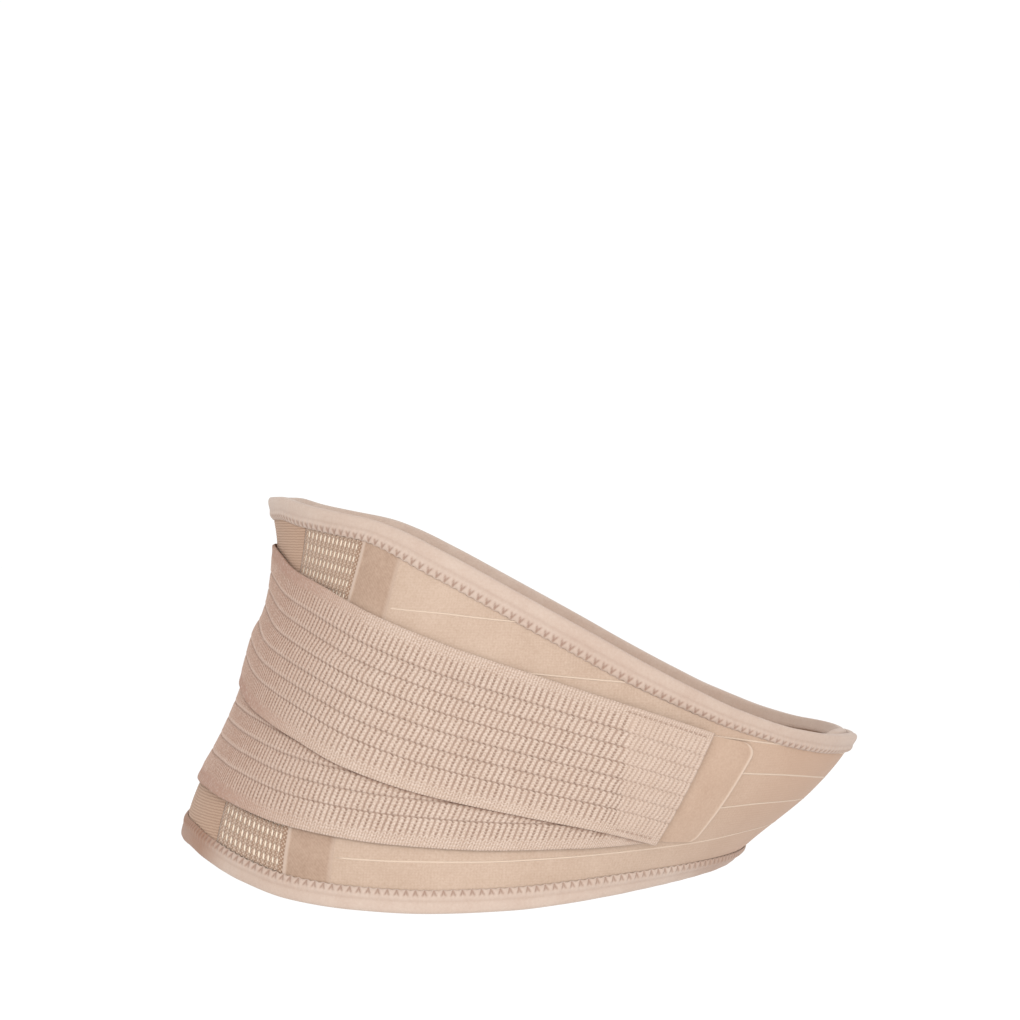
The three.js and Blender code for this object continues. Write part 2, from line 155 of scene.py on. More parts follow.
@dataclass(frozen=True)
class Torso:
    """Round form that every layer is laid on, and the belt's long edges."""

    back_height: float = 240.0
    back_reach: float = 200.0
    front_reach: float = 228.0
    half_width: float = 191.0
    back_fullness: float = 2.3
    front_fullness: float = 2.05
    upright_lean: float = 0.03
    half_round: float = 560.0
    tuck: float = 7.2
    tuck_from: float = 0.81
    tuck_full: float = 0.925
    ends: tuple[float, float] = (1.06, 1.10)
    end_radius: float = 25.0
    inset: float = 2.3
    outline: tuple[tuple[float, float, float, float], ...] = (
        (0.995, 0.510, 1.000, -0.250), (1.000, 0.655, 1.000, -0.250),
        (0.958, 0.818, 0.990, -0.240), (0.876, 0.925, 0.974, -0.230),
        (0.811, 0.958, 0.948, -0.210), (0.768, 0.974, 0.911, -0.190),
        (0.724, 0.991, 0.869, -0.170), (0.712, 1.000, 0.822, -0.150),
        (0.732, 0.991, 0.770, -0.140),
    )
    top_edge: Rows = (
        (0.00, 1.000), (0.17, 1.000), (0.25, 0.982), (0.33, 0.959), (0.38, 0.940),
        (0.42, 0.913), (0.48, 0.857), (0.54, 0.794), (0.60, 0.726), (0.65, 0.664),
        (0.70, 0.596), (0.75, 0.529), (0.79, 0.480), (0.85, 0.428), (0.91, 0.403),
        (1.00, 0.390),
    )
    bottom_edge: Rows = (
        (0.00, 0.133), (0.17, 0.128), (0.24, 0.108), (0.32, 0.068), (0.38, 0.037),
        (0.45, 0.018), (0.52, 0.010), (0.60, 0.015), (0.65, 0.025), (0.70, 0.038),
        (0.76, 0.053), (0.85, 0.068), (1.00, 0.078),
    )

    def share(self, column: int, height: Grid) -> Grid:
        """One column of the outline at a height share.

        Args:
            column: 0 back, 1 front, 2 side, 3 middle.
            height: Height share.

        Returns:
            The column's share there.
        """
        values = np.array([row[column] for row in self.outline])
        last = len(values) - 1
        x = np.clip(height, 0.0, 1.0) * last
        i = np.minimum(np.floor(x).astype(int), last - 1)
        t = x - i
        p0, p1, p2, p3 = (values[np.clip(i + k, 0, last)] for k in (-1, 0, 1, 2))
        return 0.5 * (2 * p1 + (p2 - p0) * t + (2 * p0 - 5 * p1 + 4 * p2 - p3) * t * t
                      + (3 * p1 - p0 - 3 * p2 + p3) * t ** 3)

    def point(self, turn: Grid, height: Grid) -> Grid:
        """Point of the torso.

        Args:
            turn: Half turns from the centre back, positive on the right side.
            height: Height share.

        Returns:
            Points, with x, y and z last.
        """
        turn, height = np.broadcast_arrays(np.asarray(turn, float), np.asarray(height, float))
        lean = self.upright_lean * np.sin(np.pi * turn) * (height - 0.5)
        angle = np.pi * (turn + lean)
        c, s = -np.cos(angle), -np.sin(angle)
        middle = self.share(3, height) * self.back_reach
        reach = np.where(c < 0, self.share(0, height) * self.back_reach + middle,
                         self.share(1, height) * self.front_reach - middle)
        side = self.share(2, height) * self.half_width
        power = np.where(c < 0, self.back_fullness, self.front_fullness)
        r = (np.abs(c / reach) ** power + np.abs(s / side) ** power) ** (-1 / power)
        return np.stack([middle + r * c, r * s, (height - 0.5) * self.back_height], -1)

    def steps(self, turn: Grid, height: Grid) -> tuple[Grid, Grid]:
        """Change of the point with the turn and with the height share."""
        d = 0.002
        return ((self.point(turn + d, height) - self.point(turn - d, height)) / (2 * d),
                (self.point(turn, height + d) - self.point(turn, height - d)) / (2 * d))

    def normal(self, turn: Grid, height: Grid) -> Grid:
        """Outward normal of the torso."""
        around, up = self.steps(turn, height)
        return unit(np.cross(around, up))

    def lift(self, turn: Grid, height: Grid, level: Grid) -> Grid:
        """Point at a level above the torso, with the left front end tucked in.

        Args:
            turn: Half turns from the centre back.
            height: Height share.
            level: Distance along the normal.

        Returns:
            Points, with x, y and z last.
        """
        turn, height, level = np.broadcast_arrays(
            np.asarray(turn, float), np.asarray(height, float), np.asarray(level, float))
        tucked = self.tuck * ease((-turn - self.tuck_from) / (self.tuck_full - self.tuck_from))
        return self.point(turn, height) + self.normal(turn, height) * (level - tucked)[..., None]

    def edge(self, rows: Rows, turn: Grid) -> Grid:
        """Height share of an edge; past the centre front it runs back again."""
        t = np.abs(turn)
        return along(rows, np.where(t > 1, 2 - t, t))

    def between(self, turn: Grid, v: Grid) -> Grid:
        """Height share between the two long edges, kept inside the edging."""
        gap = self.inset / self.back_height
        return mix(self.edge(self.bottom_edge, turn) + gap, self.edge(self.top_edge, turn) - gap, v)

    def tall(self, turn: Grid) -> Grid:
        """Height share from one long edge to the other."""
        return self.edge(self.top_edge, turn) - self.edge(self.bottom_edge, turn)

    def lay(self, turn: Grid, height: Grid) -> Grid:
        """Millimetres along and up, the layout that plain cloth is patterned by."""
        return np.stack([turn * self.half_round, height * self.back_height], -1)


@dataclass(frozen=True)
class Levels:
    """Cloth walls and the levels above the torso that they lie at."""

    skin: float = 0.2
    panel_top: float = 2.2
    mesh_base: float = 0.7
    casing_top: float = 2.5
    tab_base: float = 2.5
    tab_wall: float = 1.3
    strap_base: float = 3.7
    strap_on_tab: float = 4.3
    strap_lift: float = 2.3
    strap_wall: float = 1.8
    binding_in: float = -0.6
    binding_out: float = 3.0
    binding_wall: float = 1.4


class Socket:
    """A node's output that can be used in number expressions."""

    def __init__(self, recipe: "Recipe", link: bpy.types.NodeSocket) -> None:
        """Keeps the output and the recipe that it belongs to."""
        self.recipe = recipe
        self.link = link

    def _math(self, operation: str, first: "Number", second: "Number" = 0.0) -> "Socket":
        """Adds one Math node."""
        return self.recipe.node("ShaderNodeMath", {"operation": operation}, {0: first, 1: second})

    def __add__(self, other: "Number") -> "Socket":
        """Sum."""
        return self._math("ADD", self, other)

    __radd__ = __add__

    def __sub__(self, other: "Number") -> "Socket":
        """Difference."""
        return self._math("SUBTRACT", self, other)

    def __rsub__(self, other: "Number") -> "Socket":
        """Difference from a number."""
        return self._math("SUBTRACT", other, self)

    def __mul__(self, other: "Number") -> "Socket":
        """Product."""
        return self._math("MULTIPLY", self, other)

    __rmul__ = __mul__

    def __truediv__(self, other: "Number") -> "Socket":
        """Quotient."""
        return self._math("DIVIDE", self, other)

    def __abs__(self) -> "Socket":
        """Size without its sign."""
        return self._math("ABSOLUTE", self)

    def part(self) -> "Socket":
        """Fraction after the whole number."""
        return self._math("FRACT", self)

    def ridge(self) -> "Socket":
        """0 in the middle of each whole step and 1 at its ends."""
        return abs(self.part() - 0.5) * 2.0

    def between(self, low: float, high: float) -> "Socket":
        """Smooth step from 0 at low to 1 at high."""
        return self.recipe.node(
            "ShaderNodeMapRange", {"interpolation_type": "SMOOTHSTEP", "clamp": True},
            {"Value": self, "From Min": low, "From Max": high, "To Min": 0.0, "To Max": 1.0})


Number = Socket | float
Colour = tuple[float, float, float]

STUDIO_GAIN = 1.64  # how much lighter the studio's light makes a cloth


def cloth_colour(red: int, green: int, blue: int) -> Colour:
    """Linear colour of a cloth that looks like the 8-bit one in the studio's light."""
    def linear(x: int) -> float:
        """Linear share of one channel."""
        s = x / 255
        return (s / 12.92 if s <= 0.04045 else ((s + 0.055) / 1.055) ** 2.4) / STUDIO_GAIN
    return linear(red), linear(green), linear(blue)


class Recipe:
    """Material under construction, with one method for all its nodes."""

    def __init__(self, name: str, roughness: float, sheen: float = 0.0) -> None:
        """Starts a material with a plain shader.

        Args:
            name: Name of the material.
            roughness: Roughness all over.
            sheen: Weight of the soft sheen all over.
        """
        self.material = bpy.data.materials.new(name)
        self.material.use_nodes = True
        self.tree = self.material.node_tree
        self.tree.nodes.clear()
        self.output = self.tree.nodes.new("ShaderNodeOutputMaterial")
        self.shader = self.tree.nodes.new("ShaderNodeBsdfPrincipled")
        self.tree.links.new(self.shader.outputs[0], self.output.inputs[0])
        for socket, value in (("Roughness", roughness), ("Specular IOR Level", 0.25),
                              ("Sheen Weight", sheen), ("Sheen Roughness", 0.5)):
            self.shader.inputs[socket].default_value = value

    def node(self, kind: str, settings: dict[str, object] | None = None,
             sockets: dict[int | str, object] | None = None, out: int | str = 0) -> Socket:
        """Adds a node.

        Args:
            kind: The node's type.
            settings: Properties that are set before the sockets.
            sockets: Values or links of its inputs.
            out: The output that is wanted.

        Returns:
            That output.
        """
        made = self.tree.nodes.new(kind)
        for key, value in (settings or {}).items():
            setattr(made, key, value)
        for key, value in (sockets or {}).items():
            self.feed(made.inputs[key], value)
        return Socket(self, made.outputs[out])

    def feed(self, target: bpy.types.NodeSocket, value: object) -> None:
        """Links or sets one input."""
        if isinstance(value, Socket):
            self.tree.links.new(value.link, target)
        elif isinstance(value, tuple) and len(value) == 3 and target.type == "RGBA":
            target.default_value = (*value, 1.0)
        else:
            target.default_value = value

    def lay(self, name: str) -> tuple[Socket, Socket]:
        """The two numbers of one of the piece's own layouts."""
        place = self.node("ShaderNodeUVMap", {"uv_map": name})
        split = self.node("ShaderNodeSeparateXYZ", {}, {0: place})
        return split, Socket(self, split.link.node.outputs[1])

    def mark(self, name: str) -> Socket:
        """A number that the piece's mesh carries."""
        return self.node("ShaderNodeAttribute", {"attribute_name": name}, {}, "Fac")

    def noise(self, scale: float, detail: float = 2.0, rough: float = 0.5) -> Socket:
        """Noise over the part's own space, at a scale per metre."""
        place = self.node("ShaderNodeTexCoord", {}, {}, "Object")
        return self.node("ShaderNodeTexNoise", {}, {
            "Vector": place, "Scale": scale, "Detail": detail, "Roughness": rough}, 0)

    def grain(self) -> Socket:
        """Fine unevenness of a smooth knit."""
        return self.noise(760.0, 3.0, 0.6)

    def blend(self, first: object, second: object, share: Number) -> Socket:
        """Blend of two colours."""
        return self.node("ShaderNodeMix", {"data_type": "RGBA"},
                         {0: share, 6: first, 7: second}, 2)

    def finish(self, colour: Socket, relief: Socket | None = None, depth: float = 0.2,
               roughness: Socket | None = None) -> bpy.types.Material:
        """Feeds the shader.

        Args:
            colour: Base colour.
            relief: Height of the fine relief, from 0 to 1.
            depth: Depth of that relief in millimetres.
            roughness: Roughness where it varies.

        Returns:
            The finished material.
        """
        self.feed(self.shader.inputs["Base Color"], colour)
        if roughness is not None:
            self.feed(self.shader.inputs["Roughness"], roughness)
        if relief is not None:
            raised = self.node("ShaderNodeBump", {}, {
                "Strength": 1.0, "Distance": depth * MM, "Height": relief})
            self.feed(self.shader.inputs["Normal"], raised)
        return self.material


@dataclass(frozen=True)
class StrapFinish:
    """Woven elastic: light ribs of slanted yarn, dotted dark valleys and dark grooves; painted
    shade in the grooves and toward the centre back, and a painted highlight on the groove lips.
    """

    ridge: Colour = cloth_colour(246, 223, 206)
    ground: Colour = cloth_colour(214, 184, 163)
    valley: Colour = cloth_colour(155, 118, 97)
    groove: Colour = cloth_colour(158, 124, 107)
    lip: Colour = cloth_colour(242, 216, 199)
    # darker colour of the painted shade toward the centre back
    plain: Colour = cloth_colour(200, 151, 129)
    sewn: Colour = cloth_colour(232, 204, 185)
    dot: float = 1.9
    fine_dot: float = 1.7
    wander: float = 420.0
    speckle: float = 430.0

    def material(self) -> bpy.types.Material:
        """Builds the material."""
        r = Recipe("strap_elastic", 0.9, 0.06)
        rib, _ = r.lay("Lay")
        _, up = r.lay("Run")
        edge, sewn, back = r.mark("selvedge"), r.mark("sewn"), r.mark("back")
        wobble = r.noise(self.wander, 1.0) - 0.5
        middle = abs(rib.part() - 0.5)
        yarn = (up / self.dot + middle * 1.2 + wobble * 1.4).ridge().between(0.1, 0.9)
        dots = (up / self.dot + wobble * 1.2 + rib * 0.5).ridge().between(0.15, 0.8)
        coarse = (rib + wobble * 0.2).ridge().between(0.38, 0.86) * (0.55 + 0.45 * dots)
        fine = (rib * 2.0 + wobble * 0.4).ridge().between(0.3, 0.95)
        fine = fine * (0.4 + 0.6 * (up / self.fine_dot + rib).ridge())
        valley = coarse * (1.0 - edge) * r.mark("depth") + fine * edge * 0.7
        mottled = r.noise(90.0, 3.0)
        body = r.blend(self.ridge, self.ground, yarn * 0.58 + mottled * 0.5 - 0.08)
        # painted shade: the back mark darkens the strap toward the centre back, where it turns from
        # the light, more on the selvedges, and deepens the valleys there
        body = r.blend(body, self.plain, back * (0.5 + 0.3 * edge))
        specks = r.noise(self.speckle, 1.0).between(0.48, 0.7)
        body = r.blend(body, self.lip, specks * back * 0.45)
        body = r.blend(body, self.valley, valley * (0.72 + 0.18 * back))
        # painted shade in the lengthwise grooves, and a painted highlight on the lip just above
        # each groove, stronger toward the back
        line = r.mark("groove").between(0.3, 1.0)
        body = r.blend(body, self.groove, line * (0.42 - 0.12 * back) * (1.0 - 0.5 * sewn))
        body = r.blend(body, self.lip, r.mark("lip") * (0.15 + 0.55 * back))
        body = r.blend(body, self.valley, r.mark("shadow") * 0.75)
        body = r.blend(body, self.sewn, sewn * 0.26)
        relief = (1.0 - yarn) * 0.32 + (1.0 - valley) * 0.6 + r.noise(700.0) * 0.2
        return r.finish(body, relief, 0.4)


@dataclass(frozen=True)
class KnitFinish:
    """Fine smooth knit of the front panels and the strap ends, with painted shade toward the front
    tips.
    """

    name: str = "panel_knit"
    light: Colour = cloth_colour(232, 205, 184)
    dark: Colour = cloth_colour(205, 175, 152)
    # darker, warmer colour of the painted shade toward the front tips
    front: Colour = cloth_colour(216, 176, 148)
    grain: float = 0.75
    nap: float = 0.1
    wale: float = 1.7
    course: float = 1.5
    tip_shade_span: tuple[float, float] = (390.0, 540.0)

    def material(self) -> bpy.types.Material:
        """Builds the material."""
        r = Recipe(self.name, 0.88, self.nap)
        along_mm, up_mm = r.lay("Run")
        soft = r.noise(34.0, 3.0)
        grain = r.grain()
        wale = (along_mm / self.wale + grain * 0.9).ridge()
        course = (up_mm / self.course + grain * 0.9 + wale * 0.3).ridge()
        shade = 0.5 + (soft - 0.5) * 0.7 + (grain - 0.5) * 1.5 * self.grain
        shade = shade + (course - 0.5) * 0.12 + (wale - 0.5) * 0.10
        colour = r.blend(self.light, self.dark, shade)
        # painted shade: darker and warmer toward the front tips, which turn away from the light
        forward = abs(along_mm).between(*self.tip_shade_span)
        colour = r.blend(colour, self.front, forward * 0.85)
        relief = wale * 0.25 + course * 0.25 + grain * 0.5
        return r.finish(colour, relief, 0.2)


@dataclass(frozen=True)
class TabFinish:
    """Smooth knit of the strap ends, with a painted highlight along the raised bead of its edge."""

    light: Colour = cloth_colour(226, 195, 171)
    dark: Colour = cloth_colour(203, 169, 145)
    pressed: Colour = cloth_colour(246, 221, 200)

    def material(self) -> bpy.types.Material:
        """Builds the material."""
        r = Recipe("tab_knit", 0.85, 0.12)
        soft = r.noise(50.0, 3.0)
        grain = r.grain()
        shade = 0.45 + (soft - 0.5) * 0.8 + (grain - 0.5) * 1.1
        colour = r.blend(self.light, self.dark, shade)
        # painted highlight along the raised edge bead
        colour = r.blend(colour, self.pressed, r.mark("pressed") * 0.85)
        return r.finish(colour, grain, 0.14)


@dataclass(frozen=True)
class RibFinish:
    """Finely ribbed elastic of the back panel."""

    light: Colour = cloth_colour(227, 191, 165)
    dark: Colour = cloth_colour(166, 128, 102)
    pitch: float = 1.6
    cross_pitch: float = 1.8

    def material(self) -> bpy.types.Material:
        """Builds the material."""
        r = Recipe("rib_elastic", 0.9, 0.05)
        along_mm, up_mm = r.lay("Run")
        wobble = r.noise(420.0) - 0.5
        line = (up_mm / self.pitch + wobble * 0.8).ridge().between(0.2, 1.0)
        cross = (along_mm / self.cross_pitch + up_mm * 0.4 + wobble * 0.6).ridge()
        soft = r.noise(60.0)
        colour = r.blend(self.light, self.dark, line * 0.46 + cross * 0.26 + soft * 0.12)
        relief = (1.0 - line) * 0.6 + cross * 0.3 + r.noise(1200.0) * 0.1
        return r.finish(colour, relief, 0.18)


@dataclass(frozen=True)
class NetFinish:
    """Openwork net: light rims on a darker ground with small crossing threads."""

    rim: Colour = cloth_colour(234, 206, 183)
    thread: Colour = cloth_colour(242, 213, 190)
    ground: Colour = cloth_colour(178, 143, 118)

    def material(self) -> bpy.types.Material:
        """Builds the material."""
        r = Recipe("net", 0.85, 0.15)
        column, row = r.lay("Lay")
        wobble = r.noise(500.0, 1.0) * 0.25
        across, up = column * 2.0, row * 3.0
        lattice = (across + up + wobble).ridge() * (across - up + wobble).ridge()
        threads = lattice.between(0.12, 0.5)
        dots = row.ridge().between(0.72, 0.92) * (column + 0.5).ridge().between(0.45, 0.8)
        colour = r.blend(self.ground, self.thread, threads * 0.75)
        colour = r.blend(colour, self.thread, dots * 0.85)
        colour = r.blend(colour, self.rim, r.mark("rim").between(0.3, 1.0) * 0.5)
        relief = threads * 0.7 + r.noise(900.0) * 0.3
        return r.finish(colour, relief, 0.4)


@dataclass(frozen=True)
class LiningFinish:
    """Pale lining that shows through the eyelets."""

    light: Colour = (0.92, 0.79, 0.65)
    dark: Colour = (0.82, 0.69, 0.55)
    inner: Colour = cloth_colour(222, 192, 168)
    weave: float = 1.6

    def material(self) -> bpy.types.Material:
        """Builds the material."""
        r = Recipe("pale_lining", 0.9, 0.1)
        along_mm, up_mm = r.lay("Run")
        weave = (along_mm / self.weave).ridge() * (up_mm / self.weave).ridge()
        colour = r.blend(self.light, self.dark, weave * 0.6 + r.noise(300.0) * 0.3)
        return r.finish(r.blend(self.inner, colour, r.mark("outer")))


@dataclass(frozen=True)
class TapeFinish:
    """Smooth tape of the stay casings, with a soft sheen and a painted highlight on the rolled
    edges.
    """

    body: Colour = cloth_colour(214, 183, 160)
    shade: Colour = cloth_colour(184, 152, 129)
    rolled: Colour = cloth_colour(226, 200, 181)
    twill: float = 1.8

    def material(self) -> bpy.types.Material:
        """Builds the material."""
        r = Recipe("casing_tape", 0.6, 0.08)
        along_mm, up_mm = r.lay("Run")
        twill = ((up_mm + along_mm) / self.twill + r.noise(500.0) * 0.8).ridge()
        soft = r.noise(45.0, 3.0)
        grain = r.noise(650.0, 2.0)
        colour = r.blend(self.body, self.shade, soft * 1.4 + twill * 0.2 + grain * 1.1 - 0.85)
        # painted highlight on the rolled edges
        colour = r.blend(colour, self.rolled, r.mark("rolled") * 0.9)
        return r.finish(colour, twill * 0.5 + grain * 0.5, 0.1, 0.5 + 0.2 * soft)


@dataclass(frozen=True)
class PlushFinish:
    """Soft plush edging with darker stitch marks."""

    pile: Colour = cloth_colour(240, 220, 204)
    deep: Colour = cloth_colour(214, 184, 166)
    shaded: Colour = cloth_colour(176, 130, 102)
    stitch: Colour = cloth_colour(160, 120, 100)

    def material(self) -> bpy.types.Material:
        """Builds the material."""
        r = Recipe("edging", 0.95, 0.14)
        fibres = r.noise(640.0, 4.0, 0.65)
        soft = r.noise(70.0, 3.0)
        colour = r.blend(self.pile, self.deep, fibres * 0.7 + soft * 0.5 - 0.1)
        # painted shade where the back mark is set
        colour = r.blend(colour, self.shaded, r.mark("back") * 0.9)
        # stitch marks, and the painted crease shade that the same mark carries
        colour = r.blend(colour, self.stitch, r.mark("stitch") * 0.75)
        return r.finish(colour, fibres, 0.3)


@dataclass(frozen=True)
class ThreadFinish:
    """Sewing thread and thin pressed seams."""

    name: str = "thread"
    light: Colour = cloth_colour(232, 210, 192)
    dark: Colour = cloth_colour(208, 178, 158)
    lay: float = 2.2
    strand: float = 0.9

    def material(self) -> bpy.types.Material:
        """Builds the material."""
        r = Recipe(self.name, 0.85, 0.05)
        along_mm, up_mm = r.lay("Run")
        twist = (along_mm / self.lay + up_mm / self.strand).ridge()
        colour = r.blend(self.light, self.dark, twist * 0.6 + r.noise(400.0) * 0.4)
        return r.finish(colour, twist, 0.1)


class Finishes:
    """The finishes that the pieces share, each made once."""

    def __init__(self) -> None:
        """Starts with nothing made."""
        self._made: dict[str, bpy.types.Material] = {}
        self._kinds: dict[str, object] = {
            "strap_elastic": StrapFinish(),
            "panel_knit": KnitFinish(),
            "tab_knit": TabFinish(),
            "closure_tape": KnitFinish("closure_tape", cloth_colour(212, 183, 161),
                                       cloth_colour(182, 152, 130), grain=1.0, nap=0.3),
            "rib_elastic": RibFinish(),
            "net": NetFinish(),
            "pale_lining": LiningFinish(),
            "casing_tape": TapeFinish(),
            "edging": PlushFinish(),
            "thread": ThreadFinish("thread", cloth_colour(254, 230, 208),
                                   cloth_colour(240, 212, 188)),
            "sewing_thread": ThreadFinish("sewing_thread", cloth_colour(226, 196, 176),
                                          cloth_colour(188, 156, 137)),
        }

    def get(self, name: str) -> bpy.types.Material:
        """The material of that name."""
        if name not in self._made:
            self._made[name] = self._kinds[name].material()
        return self._made[name]


@dataclass(frozen=True)
class Cut:
    """Flat cloth that a piece is cut from, and what it rests on."""

    width: float
    length: float
    area: float
    rests_on: tuple[str, ...] = ()


@dataclass
class Body:
    """Vertices and faces of one piece, with its layouts and marks."""

    name: str
    points: list[Grid] = field(default_factory=list)
    faces: list[tuple[int, ...]] = field(default_factory=list)
    layouts: dict[str, list[Grid]] = field(default_factory=dict)
    marks: dict[str, list[Grid]] = field(default_factory=dict)
    size: int = 0

    def add(self, points: Grid, layouts: dict[str, Grid] | None = None,
            marks: dict[str, Grid] | None = None) -> int:
        """Adds vertices.

        Args:
            points: Their places, with x, y and z last.
            layouts: Pairs of numbers for each vertex.
            marks: One number for each vertex.

        Returns:
            The index of the first one.
        """
        flat = points.reshape(-1, 3)
        first = self.size
        self.points.append(flat)
        self.size += len(flat)
        grid = points.shape[:-1]
        for store, given, shape, width in ((self.layouts, layouts, (*grid, 2), 2),
                                           (self.marks, marks, grid, 1)):
            for key, value in (given or {}).items():
                held = store.setdefault(key, [np.zeros((first, width))] if first else [])
                held.append(np.broadcast_to(value, shape).reshape(-1, width))
            for held in store.values():
                missing = self.size - sum(len(h) for h in held)
                if missing:
                    held.append(np.zeros((missing, width)))
        return first

    def quads(self, first: int, columns: int, rows: int, flip: bool = False,
              keep: Grid | None = None) -> None:
        """Adds the faces of a grid whose vertices run along its rows.

        Args:
            first: Index of its first vertex.
            columns: Vertices along the first axis.
            rows: Vertices along the second axis.
            flip: Faces turned over.
            keep: Cells that are kept, all if None.
        """
        i, j = pairs(np.arange(columns - 1), np.arange(rows - 1))
        a = first + i * rows + j
        cells = np.stack([a, a + rows, a + rows + 1, a + 1], -1)
        if flip:
            cells = cells[..., ::-1]
        chosen = cells.reshape(-1, 4) if keep is None else cells[keep]
        self.faces.extend(map(tuple, chosen.tolist()))

    def strip(self, first: Sequence[int], second: Sequence[int]) -> None:
        """Joins two rows of vertices of the same length."""
        for k in range(len(first) - 1):
            self.faces.append((first[k], first[k + 1], second[k + 1], second[k]))

    def build(self, material: bpy.types.Material, slot: str, nodes: Sequence[str],
              mirrored: bool = False, cut: "Cut | None" = None) -> bpy.types.Object:
        """Makes the object and gives it its place in the frame.

        Args:
            material: Its finish.
            slot: The record's slot; not used.
            nodes: Solids that it replaces.
            mirrored: Faces turned over, for a piece laid out on the left side.
            cut: The flat cloth that it was made from; not used.

        Returns:
            The object.
        """
        mesh = bpy.data.meshes.new(self.name)
        faces = [f[::-1] for f in self.faces] if mirrored else self.faces
        mesh.from_pydata((np.concatenate(self.points) * MM).tolist(), [], faces)
        mesh.polygons.foreach_set("use_smooth", np.ones(len(mesh.polygons), bool))
        corners = np.empty(len(mesh.loops), int)
        mesh.loops.foreach_get("vertex_index", corners)
        for key, held in self.layouts.items():
            layer = mesh.uv_layers.new(name=key)
            layer.data.foreach_set("uv", np.concatenate(held)[corners].ravel())
        for key, held in self.marks.items():
            layer = mesh.attributes.new(key, "FLOAT", "POINT")
            layer.data.foreach_set("value", np.concatenate(held).ravel())
        mesh.materials.append(material)
        mesh.update()
        piece = bpy.data.objects.new(self.name, mesh)
        bpy.context.scene.collection.objects.link(piece)
        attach(piece, "root")
        if nodes:
            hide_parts(*nodes)
        log.info("%s: %d vertices, %d faces", self.name, len(mesh.vertices), len(mesh.polygons))
        return piece


@dataclass
class Belt:
    """What every sub-assembly needs: the torso, the levels and the finishes."""

    torso: Torso = field(default_factory=Torso)
    levels: Levels = field(default_factory=Levels)
    finishes: Finishes = field(default_factory=Finishes)

    def cloth(self, name: str, turn: Grid, height: Grid, low: Grid, high: Grid,
              layout: Grid, marks: dict[str, Grid] | None = None, keep: Grid | None = None,
              pattern: str = "Run", one_side: bool = False) -> Body:
        """Closed cloth wall over a grid of places.

        Args:
            name: Name of the piece.
            turn: Half turns of the grid's vertices.
            height: Height shares of the vertices.
            low: Level of the inner face.
            high: Level of the outer face.
            layout: Pairs of numbers for the pattern.
            marks: Numbers for the pattern.
            keep: Cells that are cloth, all if None.
            pattern: Name of the layout.
            one_side: Marks on the outer face alone.

        Returns:
            The body.
        """
        columns, rows = turn.shape
        keep = np.ones((columns - 1, rows - 1), bool) if keep is None else keep
        body = Body(name)
        outer = body.add(self.torso.lift(turn, height, high), {pattern: layout}, marks)
        inner = body.add(self.torso.lift(turn, height, low), {pattern: layout},
                         None if one_side else marks)
        body.quads(outer, columns, rows, keep=keep)
        body.quads(inner, columns, rows, flip=True, keep=keep)
        padded = np.zeros((columns + 1, rows + 1), bool)
        padded[1:-1, 1:-1] = keep
        for i, j in np.argwhere(keep):
            for di, dj, p, q in ((0, -1, (0, 0), (1, 0)), (1, 0, (1, 0), (1, 1)),
                                 (0, 1, (1, 1), (0, 1)), (-1, 0, (0, 1), (0, 0))):
                if not padded[i + 1 + di, j + 1 + dj]:
                    a = (i + p[0]) * rows + j + p[1]
                    b = (i + q[0]) * rows + j + q[1]
                    body.faces.append((int(inner + a), int(inner + b),
                                       int(outer + b), int(outer + a)))
        return body


@dataclass
class BackPanel:
    """Finely ribbed elastic panel at the centre back."""

    belt: Belt
    reach: float = 0.26197
    rib: float = 1.6
    relief: float = 0.22
    height_share: float = 0.85
    columns: int = 46
    cut: Cut = Cut(216.0, 262.0, 49300.0)

    def build(self) -> None:
        """Builds and dresses the panel."""
        torso, levels = self.belt.torso, self.belt.levels
        ribs = int(self.height_share * torso.back_height / self.rib)
        v = np.linspace(0, 1, ribs * 3 + 1)
        across = np.linspace(-self.reach, self.reach, self.columns)
        across = np.insert(across, (1, self.columns - 1), (across[0] + 2e-4, across[-1] - 2e-4))
        turn, v = pairs(across, v)
        height = torso.between(turn, v)
        layout = torso.lay(turn, height)
        wave = 0.5 - 0.5 * np.cos(2 * np.pi * layout[..., 1] / self.rib)
        high = levels.panel_top - self.relief + self.relief * wave
        body = self.belt.cloth("back_panel_ribbed", turn, height, levels.skin, high, layout)
        body.build(self.belt.finishes.get("rib_elastic"), "rib_elastic", ["back_panel"],
                   cut=self.cut)


@dataclass
class SidePiece:
    """What is built once for each side of the wearer."""

    belt: Belt
    side: Side

    def cloth(self, name: str, turn: Grid, *rest: object, **options: object) -> Body:
        """Cloth wall on this side; the rest is as the belt's own cloth takes it."""
        return self.belt.cloth(f"{name}_{self.side.word}", turn * self.side.value, *rest, **options)

    def dress(self, body: Body, slot: str, node: str, cut: Cut,
              finish: str = "") -> bpy.types.Object:
        """Builds a body of this side.

        Args:
            body: The body.
            slot: The record's slot.
            node: Solid that it replaces, without its side, or nothing.
            cut: The flat cloth that it was made from.
            finish: Its finish, where that isn't the slot's own.

        Returns:
            The object.
        """
        return body.build(self.belt.finishes.get(finish or slot), slot,
                          [f"{node}_{self.side.word}"] if node else [], self.side.mirrored, cut)


